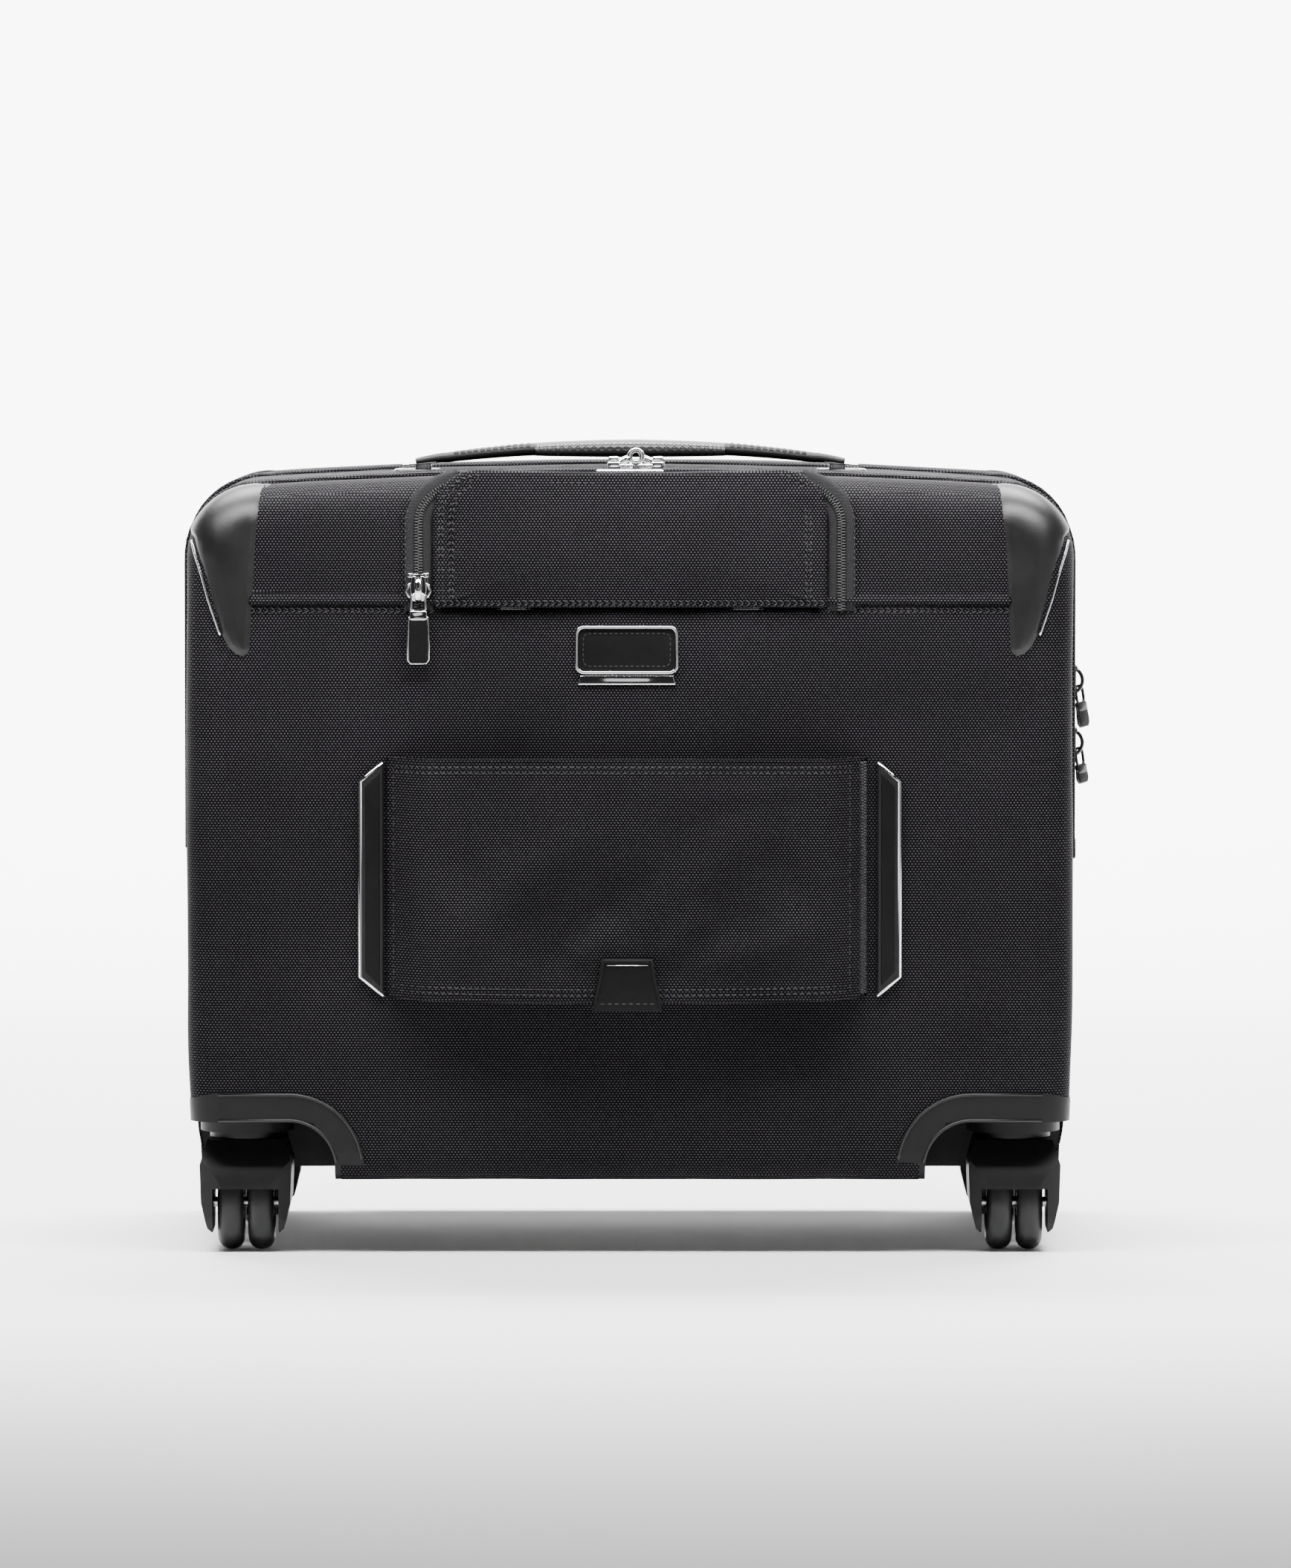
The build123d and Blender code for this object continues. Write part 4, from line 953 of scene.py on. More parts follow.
def face_depth(x, face_y, toward):
    """Y of the fabric near a side edge, where it rolls round."""
    radius = EDGE_R + SKIN
    inset = HALF_W + SKIN - abs(x)
    drop = 0 if inset > radius else radius - math.sqrt(max(0, radius ** 2 - (radius - inset) ** 2))
    return face_y + toward * (SKIN - drop)


def build_guards():
    """Corner caps with their bright accent lines."""
    for end, face_y, toward, back_y, lift, body, node in (
            ("rear", REAR_Y, -1, -82 * MM, 1.8 * MM, "case", "rear_top_guards"),
            ("lid", FRONT_Y, 1, 84 * MM, 1.8 * MM, "lid", "lid_top_guards")):
        for hand, side in ((-1, "left"), (1, "right")):
            cap = corner_guard(f"{end}_corner_guard_{side}", -hand, face_y, toward, back_y, lift)
            cap = assign(cap, body, "guard", *([node] if hand < 0 else []))
            line = [(-195.0, 296.4), (-200.6, 312.8), (-204.0, 325.3), (-207.1, 335), (-208.8, 341.4)]
            path = []
            for x, z in line:
                spot_x = hand * -x * MM
                path.append(Vector((spot_x, face_depth(x * MM, face_y, toward) + toward * 0.55 * MM, z * MM)))
            path = resample(path, 2 * MM)
            accent = sweep(f"{end}_guard_accent_{side}", path, round_section(0.55 * MM, 8), CHROME)
            assign(accent, body, "chrome")


# ---------------------------------------------------------------- rear sleeve
def crease(x, z, start, end, width, height):
    """Height of one soft fold that fades at both ends."""
    sx, sz = start
    ex, ez = end[0] - sx, end[1] - sz
    length = math.hypot(ex, ez)
    along = ((x - sx) * ex + (z - sz) * ez) / length ** 2
    off = ((x - sx) * ez - (z - sz) * ex) / length
    fade = math.exp(-((along - 0.5) / 0.42) ** 4)
    return height * fade * math.exp(-(off / width) ** 2)


CREASES = (((-95, 140), (-20, 205), 13, 1.5), ((-50, 128), (20, 190), 11, -1.0),
           ((0, 150), (70, 215), 14, 1.4),
           ((20, 135), (100, 160), 10, 1.1), ((60, 205), (104, 140), 12, -1.0),
           ((-100, 200), (-40, 150), 14, -0.9),
           ((-30, 140), (-5, 160), 8, 1.3), ((12, 140), (38, 168), 8, 1.4), ((30, 222), (90, 226), 8, 0.7))


def build_sleeve():
    """Fabric sleeve that slips over another handle, with its hems, plates and leather tab."""
    low, high = SLEEVE_LOW, SLEEVE_HIGH
    rise = (REAR_Y - low.y) / MM
    left, right = low.x / MM, high.x / MM
    columns, rows = 150, 76
    verts = []

    def surface(x, v):
        z_low = low.z / MM + 2.6 + 2.2 * abs((x - (left + right) / 2) / 115) ** 2
        z = z_low + (high.z / MM - 0.2 - z_low) * v
        share = min(1, (x - left) / 24, (right - x) / 24)
        height = 1.0 + (rise - 2.6) * math.sin(max(0, share) * math.pi / 2) ** 1.25
        calm = min(1, v * 6, (1 - v) * 6, share * 1.5)
        for start, end, width, tall in CREASES:
            height += 2.3 * calm * crease(x, z, start, end, width, tall)
        height += calm * swell((x * MM, 0, z * MM), 2.2, 22, 4)
        pull = 1.2 * math.exp(-((x - 2) / 20) ** 2) * (1 - v) ** 3
        return Vector((x * MM, REAR_Y - (height + pull) * MM, z * MM))

    for v in np.linspace(0, 1, rows):
        verts += [surface(x, v) for x in np.linspace(left, right, columns)]
    panel = put("sleeve_fabric", verts, quads((rows, columns)), NYLON)
    tidy_normals(panel)
    modifier(panel, "SOLIDIFY", thickness=1.3 * MM, offset=0)
    apply_modifiers(panel)
    assign(panel, "case", "nylon", "sleeve_panel")

    parts = []
    for v, inset in ((1, -3.2), (1, -6.0), (0, 3.0), (0, 5.8)):
        z_share = v + inset / 117
        path = [surface(x, z_share) + Vector((0, -0.75 * MM, 0))
                for x in np.linspace(left + 4, right - 7, 120)]
        parts.append(stitch_line("stitch", path, (0, -1, 0)))
    for x in (left + 3.5, right - 8.5):
        path = [surface(x, v) + Vector((0, -0.75 * MM, 0)) for v in np.linspace(0.03, 0.97, 50)]
        parts.append(stitch_line("stitch", path, (0, -1, 0)))
    assign(join("sleeve_stitching", parts), "case", "nylon")
    for name, v in (("sleeve_hem_top", 1), ("sleeve_hem_low", 0)):
        path = [surface(x, v) for x in np.linspace(left + 0.5, right - 0.5, 130)]
        assign(sweep(name, path, round_section(1.05 * MM, 8), NYLON), "case", "nylon")
    net_x = right - 2.2
    net = [surface(net_x, v) + Vector((0, -0.9 * MM, 0)) for v in np.linspace(0.01, 0.99, 60)]
    strip = sweep("sleeve_side_strip", net, strip_section(4.2 * MM, 1.0 * MM), MESH_NET,
                  ups=[Vector((0.25, -1, 0))])
    assign(strip, "case", "zip_tape")
    teeth = [p + Vector((0.4 * MM, -0.8 * MM, 0)) for p in net]
    assign(coil_chain("sleeve_side_coil", teeth, (0.25, -1, 0), width=3 * MM), "case", "zip_tape")

    plate_low, plate_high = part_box("sleeve_brackets")
    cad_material("sleeve_brackets", GUARD, 0.5)
    for hand, inner, side in ((-1, -117.2, "left"), (1, 117.6, "right")):
        outer = hand * 129.2
        lows, highs = plate_low.z / MM, plate_high.z / MM
        rim = [(inner + hand * 0.4, lows + 0.5), (outer - hand * 0.7, lows + 9.6),
               (outer - hand * 0.7, highs - 9.6), (inner + hand * 0.4, highs - 0.5)]
        place = Place((0, plate_low.y, 0), (1, 0, 0), (0, 0, 1))
        bar = wire(place, [(x, z, -0.3) for x, z in rim], 1.0, CHROME, flat=0.75,
                   name=f"sleeve_plate_rim_{side}")
        assign(bar, "case", "chrome")
        face = [(inner + hand * 2.0, lows + 5), (outer - hand * 3.0, lows + 12),
                (outer - hand * 3.0, highs - 12), (inner + hand * 2.0, highs - 5)]
        if hand < 0:
            face = face[::-1]
        pad = prism(place, face, -0.4, 0.8, LEATHER, 0.5, f"sleeve_plate_inlay_{side}")
        assign(pad, "case", "leather")

    tab_low, tab_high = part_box("sleeve_tab")
    place = Place(((tab_low.x + tab_high.x) / 2, tab_high.y + 0.2 * MM, tab_low.z), (1, 0, 0), (0, 0, 1))
    tall = (tab_high.z - tab_low.z) / MM
    shape = [(-16.8, 0), (16.8, 0), (12.2, tall), (-12.2, tall)]
    parts = [prism(place, shape, -0.5, 2.4, LEATHER, 0.7)]
    edge = [(-15.6, 1.3, 2.4), (-11.4, tall - 1.3, 2.4), (11.4, tall - 1.3, 2.4), (15.6, 1.3, 2.4)]
    parts.append(wire(place, edge, 0.9, LEATHER, closed=False, flat=0.6))
    tab = join("sleeve_leather_tab", parts)
    assign(tab, "case", "leather", "sleeve_tab")
    accent = wire(place, [(-9.8, tall - 3.0, 2.5), (9.8, tall - 3.0, 2.5)], 0.25, CHROME,
                  name="sleeve_tab_accent")
    assign(accent, "case", "chrome")
    seam = stitch_line("sleeve_tab_stitching",
                       [place.at(x, 3.4, 2.5) for x in np.linspace(-13.5, 13.5, 20)], (0, -1, 0))
    assign(seam, "case", "leather")


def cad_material(node, material, soft=0.0, angle=35):
    """Finish a carried-over CAD node: its material and softly rounded edges."""
    obj = nodes[node]
    obj.data.materials.clear()
    obj.data.materials.append(material)
    for polygon in obj.data.polygons:
        polygon.material_index = 0
    if soft:
        bevel(obj, soft * MM, 3, angle)
    return obj


def build_patch():
    """Leather patch in a bright frame with a blank bar under it."""
    low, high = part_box("monogram_patch")
    middle = ((low.x + high.x) / 2, REAR_Y, (low.z + high.z) / 2)
    place = Place(middle, (1, 0, 0), (0, 0, 1))
    patch = prism(place, round_rect(46.2, 20.2, 2.9), 0.2, 1.9, LEATHER, 0.4, "patch_leather")
    assign(patch, "case", "leather", "monogram_patch")
    ring = round_rect(41.4, 15.6, 1.8) + [round_rect(41.4, 15.6, 1.8)[0]]
    seam = stitch_line("patch_stitching", [place.at(a, b, 2.0) for a, b in ring], (0, -1, 0), 1.7 * MM,
                       0.8 * MM, 0.24 * MM)
    assign(seam, "case", "leather")
    frame_ring = ring_plate(place, round_rect(49, 23, 4), round_rect(46.3, 20.3, 2.9), 0.4, 3.0, CHROME,
                            0.4, "patch_rim")
    assign(frame_ring, "case", "chrome", "patch_frame")
    bar_place = Place((middle[0], REAR_Y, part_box("patch_frame")[0].z), (1, 0, 0), (0, 0, 1))
    bar = prism(bar_place, [(-23.3, 0), (23.3, 0), (22.2, 4.6), (-22.2, 4.6)], 0.4, 2.3, CHROME, 0.45,
                "patch_bar")
    assign(bar, "case", "chrome")


# ---------------------------------------------------------------- zip sliders and pulls
PIN_OUT = 4.3


def slider(name, place, body, node, metal=CHROME):
    """Zip slider: winged body, two horns and the arched bail over it."""
    parts = [prism(place, [(-3.2, 0.3), (3.2, 0.3), (5.2, 6), (4.2, 13.6), (-4.2, 13.6), (-5.2, 6)], 0.1,
                   1.2, metal),
             prism(place, [(-2.8, 0.8), (2.8, 0.8), (4.0, 6), (3.4, 12.8), (-3.4, 12.8), (-4.0, 6)], 1.7,
                   3.0, metal, 0.5)]
    for hand in (-1, 1):
        parts.append(prism(place, round_rect(2.6, 2.2, 0.7, (hand * 3.7, 13.1)), 0.6, 3.6, metal, 0.4))
        wing = [(hand * 2.6, 1.6, 1.6), (hand * 4.6, 3.0, 1.8), (hand * 5.9, 5.6, 1.8),
                (hand * 4.8, 8.4, 1.8), (hand * 3.0, 9.6, 1.6)]
        parts.append(wire(place, wing, 0.55, metal))
    arch = [(0, 1.0 + 11.4 * t, 2.6 + 3.6 * math.sin(math.pi * t) ** 0.6)
            for t in np.linspace(0.02, 0.98, 14)]
    parts.append(wire(place, arch, 1.7, metal, flat=0.55, sides=12))
    return assign(join(name, parts), body, "chrome", node)


def pull(name, place, length, body, node, metal=CHROME):
    """Hanging pull: ring, bright shoulder and rails, leather insert."""
    ring = [(a, b - 0.2, PIN_OUT) for a, b in round_rect(6.6, 8.6, 2.2)]
    parts = [wire(place, ring, 0.75, metal, closed=True),
             prism(place, round_rect(8.4, 4.6, 1.2, (0, -6.0)), PIN_OUT - 1.1, PIN_OUT + 1.1, metal, 0.5)]
    half, top, end = 4.9, -7.6, -length + 0.4
    rails = [(-3.6, top + 1.6, PIN_OUT), (-half + 0.5, top, PIN_OUT), (-half, (top + end) / 2, PIN_OUT),
             (-half + 0.1, end + 1.5, PIN_OUT), (-half + 1.2, end, PIN_OUT), (0, end - 0.1, PIN_OUT),
             (half - 1.2, end, PIN_OUT), (half - 0.1, end + 1.5, PIN_OUT), (half, (top + end) / 2, PIN_OUT),
             (half - 0.5, top, PIN_OUT), (3.6, top + 1.6, PIN_OUT)]
    parts.append(wire(place, rails, 0.7, metal))
    parts.append(prism(place, round_rect(8.8, top - end + 0.6, 1.2, (0, (top + end) / 2)), PIN_OUT - 0.9,
                       PIN_OUT + 0.9, LEATHER, 0.5))
    return assign(join(name, parts), body, "chrome", node)


def build_flap_slider():
    low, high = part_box("flap_slider")
    place = Place(((low.x + high.x) / 2, high.y, low.z), (1, 0, 0), (0, 0, 1))
    slider("flap_zip_slider", place, "flap_slider", "flap_slider")
    pull("flap_zip_pull", place, 29, "flap_pull", "flap_pull")


def build_side_sliders():
    for level in ("upper", "lower"):
        low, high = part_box(f"front_zip_slider_{level}")
        place = Place((low.x, (low.y + high.y) / 2, low.z), (0, 1, 0), (0, 0, 1))
        slider(f"side_slider_{level}", place, f"front_slider_{level}", f"front_zip_slider_{level}", GLOSS)
        tail = (low.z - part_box(f"front_zip_pull_{level}")[0].z) / MM
        hang = Vector((-0.14, 0, 0.99)).normalized()
        joint = place.at(0, 3.4, PIN_OUT)
        turn = math.radians(32)
        across = Vector((0, 1, 0)) * math.cos(turn) + Vector((0, 1, 0)).cross(hang) * math.sin(turn)
        hung = Place(joint, across, hang)
        hung.origin = joint - hang * 3.4 * MM - hung.out * PIN_OUT * MM
        pull(f"side_pull_{level}", hung, tail, f"front_pull_{level}", f"front_zip_pull_{level}", GLOSS)


# ---------------------------------------------------------------- zips over the top
def settle(path, ups, dip):
    """Let a run sink by up to dip where it faces up, so it stands proud on the sides only."""
    return [p - u * dip * u.z ** 2 for p, u in zip(path, ups)]


def zip_run(name, node, out, bottom, wide, dip=0.0):
    """One zip over the top and sides: tape, coil, two stitch rows and piped edges."""
    low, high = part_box(node)
    y = (low.y + high.y) / 2
    path, ups = ring_path(y, out, bottom)
    tape = sweep(f"{name}_tape", settle(path, ups, dip), strip_section(wide, 1.0 * MM), TAPE, ups=ups)
    assign(tape, "case", "zip_tape", node)
    path, ups = ring_path(y, out + 1.2 * MM, bottom)
    path = settle(path, ups, dip)
    ends = np.array([tuple(p) for p in path])
    reach = np.concatenate([[0], np.cumsum(np.linalg.norm(np.diff(ends, axis=0), axis=1))])
    chain = resample(path, COIL_PITCH)
    marks = np.linspace(0, reach[-1], len(chain))
    turned = [Vector([np.interp(m, reach, [u[i] for u in ups]) for i in range(3)]) for m in marks]
    assign(coil_chain(f"{name}_coil", chain, turned), "case", "zip_tape")
    parts = []
    for side in (-1, 1):
        edge = [p + Vector((0, side * (wide / 2 - 1.6 * MM), 0)) - u * 0.25 * MM for p, u in zip(path, ups)]
        parts.append(over_stitch(edge, ups))
        rope = [p + Vector((0, side * (wide / 2 + 0.3 * MM), 0)) - u * 0.4 * MM for p, u in zip(path, ups)]
        parts.append(sweep("piping", rope, round_section(1.25 * MM, 8), NYLON, ups=ups))
    assign(join(f"{name}_edges", parts), "case", "nylon")


def build_zips():
    """Zip runs over the top and sides, with tape ridges, coil and stitching."""
    low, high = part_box("rear_zip_band")
    zip_run("rear_zip", "rear_zip_band", SKIN * 0.6, low.z, high.y - low.y + 1 * MM)
    low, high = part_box("front_zip_band")
    proud = 4.0 * MM
    dip = 3.0 * MM
    path, ups = ring_path((low.y + high.y) / 2, 0, low.z + 0.6 * MM)
    section = strip_section(high.y - low.y, proud - 0.2 * MM)
    assign(sweep("lid_zip_gusset", settle(path, ups, dip), section, NYLON, ups=ups), "case", "nylon")
    zip_run("front_zip", "front_zip_band", proud - 0.8 * MM, low.z + 1 * MM, high.y - low.y - 2.6 * MM, dip)
    side = HALF_W + proud
    place = Place((side, (low.y + high.y) / 2, 0), (0, 1, 0), (0, 0, 1))
    stop = prism(place, round_rect(10, 10, 2, (0, 184.6)), 0, 3.2, LEATHER, 0.6, "front_zip_end_stop")
    assign(stop, "case", "leather")
    garage = prism(place, round_rect(6.4, 33, 1.6, (0, 204.5)), 0, 2.8, LEATHER, 0.9, "front_zip_garage")
    assign(garage, "case", "leather")
    path, ups = ring_path(LID_LOW.y + 6.4 * MM, SKIN * 0.6, SILL_Z + 3 * MM)
    tape = sweep("lid_zip_edge_tape", path, strip_section(10 * MM, 0.9 * MM), TAPE, ups=ups)
    assign(tape, "lid", "zip_tape")
    edge = [p + Vector((0, 3.4 * MM, 0)) + u * 0.9 * MM for p, u in zip(path, ups)]
    assign(join("lid_zip_edge_stitching", [over_stitch(edge, ups)]), "lid", "nylon")


def over_stitch(path, ups):
    """Stitches along a path whose outward direction turns on the way."""
    pieces = []
    step = 12
    for k in range(0, len(path) - 1, step):
        section = path[k:k + step + 1]
        if len(section) > 1:
            pieces.append(stitch_line("stitch", section, ups[min(k + step // 2, len(ups) - 1)]))
    return join("stitches", pieces)


def build_top_sliders():
    """Two lockable sliders nose to nose on the rear zip, their eyelet rings side by side."""
    eye_x, eye_z = 2.8, 380.2
    for side, hand in (("left", -1), ("right", 1)):
        node = f"rear_zip_slider_{side}"
        low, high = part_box(node)
        flat = Place((eye_x * MM, (low.y + high.y) / 2, low.z), (1, 0, 0), (0, 1, 0))
        ends = [(hand * 1.0, -3.4), (hand * 5, -4.6), (hand * 11.8, -3.9), (hand * 11.8, 3.9),
                (hand * 5, 4.6), (hand * 1.0, 3.4)]
        parts = [prism(flat, ends[::hand], 0.1, 1.2, CHROME),
                 prism(flat, ends[::hand], 1.9, 3.3, CHROME, 0.6)]
        parts.append(prism(flat, round_rect(6.4, 8.8, 1.4, (hand * 10.4, 0)), 0.1, 4.4, CHROME, 0.8))
        parts.append(prism(flat, round_rect(5.2, 7.4, 1.2, (hand * 10.6, 0)), 4.5, 6.8, CHROME, 0.8))
        fin_y = -76.1 * MM if side == "left" else -73.5 * MM
        fin = Place((eye_x * MM, fin_y, eye_z * MM), (1, 0, 0), (0, 0, 1))
        outer = [(4.1 * math.cos(t), 4.1 * math.sin(t)) for t in (2 * math.pi * k / 28 for k in range(28))]
        inner = [(1.8 * math.cos(t), 1.8 * math.sin(t)) for t in (2 * math.pi * k / 28 for k in range(28))]
        parts.append(ring_plate(fin, outer, inner, -1.1, 1.1, CHROME, 0.5))
        arm = [(hand * 2.6, -0.6, 0), (hand * 5.4, -1.6, 0), (hand * 8.2, -3.4, 0), (hand * 9.2, -5.8, 0)]
        parts.append(wire(fin, arm, 1.7, CHROME, flat=0.7))
        foot = [(hand * 1.6, -2.6, 0), (hand * 2.4, -5.6, 0)]
        parts.append(wire(fin, foot, 1.3, CHROME, flat=0.8))
        assign(join(f"lock_slider_{side}", parts), f"rear_slider_{side}", "chrome", node)


# ---------------------------------------------------------------- carry handle
def build_carry():
    """Bowed carry handle: punched middle, smooth tapered ends and bright tips."""
    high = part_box("carry_strap")[1]
    half = high.x / MM
    top = high.z / MM

    def rise(x):
        return top - 6.0 * (x / half) ** 2

    def section(width, thick):
        return [(width / 2 * math.copysign(abs(math.cos(t)) ** 0.55, math.cos(t)),
                 thick / 2 * math.copysign(abs(math.sin(t)) ** 0.75, math.sin(t)))
                for t in (2 * math.pi * k / 28 for k in range(28))]

    def thick(x):
        return 8.4 - 2.2 * (x / 46) ** 2

    def padded(t):
        return section(26 * MM, thick(92 * t - 46) * MM)

    middle = [(x * MM, 0, (rise(x) - thick(x) / 2) * MM) for x in np.linspace(-46, 46, 60)]
    grip = sweep("carry_grip_leather", middle, padded, PUNCHED, ups=[Vector((0, 0, 1))])
    assign(grip, "carry_handle", "leather", "carry_strap")
    for hand, side in ((-1, "left"), (1, "right")):
        path = [(hand * x * MM, 0, (rise(x) - 3.0 + 0.4 * ((x - 45) / 44)) * MM)
                for x in np.linspace(45, 89, 34)]
        path += [(hand * x * MM, 0, (rise(88) - 2.6 - 2.2 * ((x - 88) / 16) ** 1.5) * MM)
                 for x in np.linspace(91, 104, 10)]

        def tapered(t):
            return section((25.2 - 7.5 * t) * MM, (6.0 - 1.6 * t - 1.8 * max(0, t - 0.75) * 4 * 0.6) * MM)

        end = sweep(f"carry_end_{side}", path, tapered, LEATHER, ups=[Vector((0, 0, 1))])
        assign(end, "carry_handle", "leather")
        tip = [(hand * x * MM, 0, (rise(88) - 4.6 - 1.7 * ((x - 94) / 17) ** 1.3) * MM)
               for x in np.linspace(94, 111, 20)]

        def pointed(t):
            return section((17.5 - 4 * t ** 3) * MM, (2.6 - 0.8 * t) * MM)

        cap = sweep(f"carry_tip_{side}", tip, pointed, CHROME, ups=[Vector((0, 0, 1))])
        assign(cap, "carry_handle", "chrome", *(["carry_tips"] if hand < 0 else []))
        parts = []
        for edge in (-1, 1):
            line = [(hand * x * MM, edge * (11.0 - 2.4 * (x - 46) / 42) * MM,
                     (rise(x) - 0.15 - 0.3 * (x - 46) / 42) * MM)
                    for x in np.linspace(48, 86, 20)]
            parts.append(stitch_line("stitch", line, (0, 0, 1)))
        assign(join(f"carry_end_stitching_{side}", parts), "carry_handle", "leather")
    pads = []
    for hand in (-1, 1):
        place = Place((hand * 100.5 * MM, 0, 0), (1, 0, 0), (0, 1, 0))
        pads.append(prism(place, round_rect(29, 24, 8), 366.5, 371.4, GLOSS, 1.4))
        pads.append(prism(place, round_rect(8, 9, 2), 370.5, 374.6, STEEL, 0.5))
    assign(join("carry_anchor_pads", pads), "case", "moulded", "carry_anchors")


# ---------------------------------------------------------------- base, guards and casters
def build_base():
    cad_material("base_pan", MOULDED, 0.5)
    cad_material("base_guards", MOULDED, 0.55)
    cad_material("caster_mounts", MOULDED, 0.9)
    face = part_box("base_guards")[0].y
    beads = []
    for hand in (-1, 1):
        for grow in (0.9 * MM, 13.2 * MM):
            inner, roof, radius = WELL_X - grow, WELL_ROOF + grow, WELL_ROUND + grow
            arc = [(inner + radius * (1 - math.sin(a)), roof - radius * (1 - math.cos(a)))
                   for a in np.linspace(0, 1.45, 20)]
            bead = [(hand * x, face + 0.1 * MM, z) for x, z in [(HALF_W - 14 * MM, roof)] + arc]
            beads.append(sweep("bead", bead, round_section(0.75 * MM, 8), GUARD, ups=[Vector((0, -1, 0))]))
    assign(join("arch_beads", beads), "case", "moulded")
    for end in ("rear", "front"):
        for side in ("left", "right"):
            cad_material(f"fork_{end}_{side}", MOULDED, 1.0, 30)
            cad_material(f"axle_{end}_{side}", STEEL, 0.4)
            for row in ("a", "b"):
                wheel(end, side, row)


def lathe(name, middle, profile, materials):
    """Turned shape about an X axis: profile of (x, radius, material index)."""
    sides = 72
    verts, faces, picks = [], [], []
    for x, radius, _ in profile:
        for k in range(sides):
            t = 2 * math.pi * k / sides
            verts.append(middle + Vector((x * MM, radius * MM * math.cos(t), radius * MM * math.sin(t))))
    for i in range(len(profile) - 1):
        for k in range(sides):
            n = (k + 1) % sides
            faces.append((i * sides + k, i * sides + n, (i + 1) * sides + n, (i + 1) * sides + k))
            picks.append(profile[i][2])
    obj = put(name, verts, faces, materials[0])
    for extra in materials[1:]:
        obj.data.materials.append(extra)
    for face, pick in zip(obj.data.polygons, picks):
        face.material_index = pick
    tidy_normals(obj)
    return obj


def wheel(end, side, row):
    """Twin-wheel half: rounded tyre, dished web and a bright hub ring."""
    node = f"wheel_{end}_{side}_{row}"
    low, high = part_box(node)
    middle = (low + high) / 2
    half = (high.x - low.x) / 2 / MM
    radius = (high.z - low.z) / 2 / MM
    round_r = 5.4
    shape = [(-half + 2.6, 2.62, 2), (-half + 2.6, 6.4, 2), (-half + 0.7, 7.0, 2), (-half + 0.7, 8.6, 1),
             (-half + 1.9, 9.4, 1), (-half + 1.9, radius - 7.6, 1), (-half + 0.2, radius - 6.6, 0)]
    for a in np.linspace(0, math.pi / 2, 8):
        shape.append((-half + round_r * (1 - math.cos(a)), radius - round_r * (1 - math.sin(a)), 0))
    mirrored = [(-x, r, m) for x, r, m in shape[::-1]]
    mirrored = [(x, r, mirrored[min(i + 1, len(mirrored) - 1)][2]) for i, (x, r, _) in enumerate(mirrored)]
    obj = lathe(node + "_tyre", middle, shape + mirrored, [TREAD, MOULDED, STEEL])
    assign(obj, f"wheel_{end}_{side}_{row}", "tread", node)


# ---------------------------------------------------------------- telescoping handle
def build_handle():
    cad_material("handle_well", MOULDED, 0.5)
    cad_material("handle_foot", MOULDED, 0.5)
    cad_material("outer_tubes", ANODISED, 0.2)
    for stage in (1, 2, 3):
        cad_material(f"stage_{stage}_tubes", POST, 0.2)
    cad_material("handle_yoke", CHROME, 2.4, 40)
    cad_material("handle_button", CHROME, 0.3)
    low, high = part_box("handle_grip")
    middle_y = (low.y + high.y) / 2
    half = high.x / MM
    tall = (high.z - low.z) / MM
    path, sections = [], []
    for x in np.linspace(-half, half, 70):
        bow = 1 - (x / half) ** 2
        path.append((x * MM, middle_y, ((low.z + high.z) / 2 / MM - 1.0) * MM))
        sections.append((19.0, tall - 4.5 + 1.8 * bow))

    def section(t):
        wide, high_mm = sections[min(len(sections) - 1, round(t * (len(sections) - 1)))]
        return [(wide / 2 * MM * math.copysign(abs(math.cos(a)) ** 0.7, math.cos(a)),
                 high_mm / 2 * MM * math.copysign(abs(math.sin(a)) ** 0.7, math.sin(a)))
                for a in (2 * math.pi * k / 30 for k in range(30))]

    grip = sweep("pull_grip_leather", path, section, PUNCHED, ups=[Vector((0, 0, 1))])
    assign(grip, "handle_stage_3", "leather", "handle_grip")
    for hand, side in ((-1, "left"), (1, "right")):
        place = Place((hand * half * MM, middle_y, (low.z + high.z) / 2 - 1.0 * MM), (0, 1, 0), (0, 0, 1))
        collar = ring_plate(place, round_rect(19.6, tall - 3.6, 6), round_rect(16, tall - 8, 5), -0.9, 0.9,
                            CHROME, 0.5, f"pull_grip_collar_{side}")
        assign(collar, "handle_stage_3", "chrome")


# ---------------------------------------------------------------- inside
def panel_shape(node, radius):
    low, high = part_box(node)
    return rounded_shape((low.x, high.x), (low.z + 0.5 * MM, high.z), (2 * MM, 2 * MM, radius, radius),
                         5 * MM)


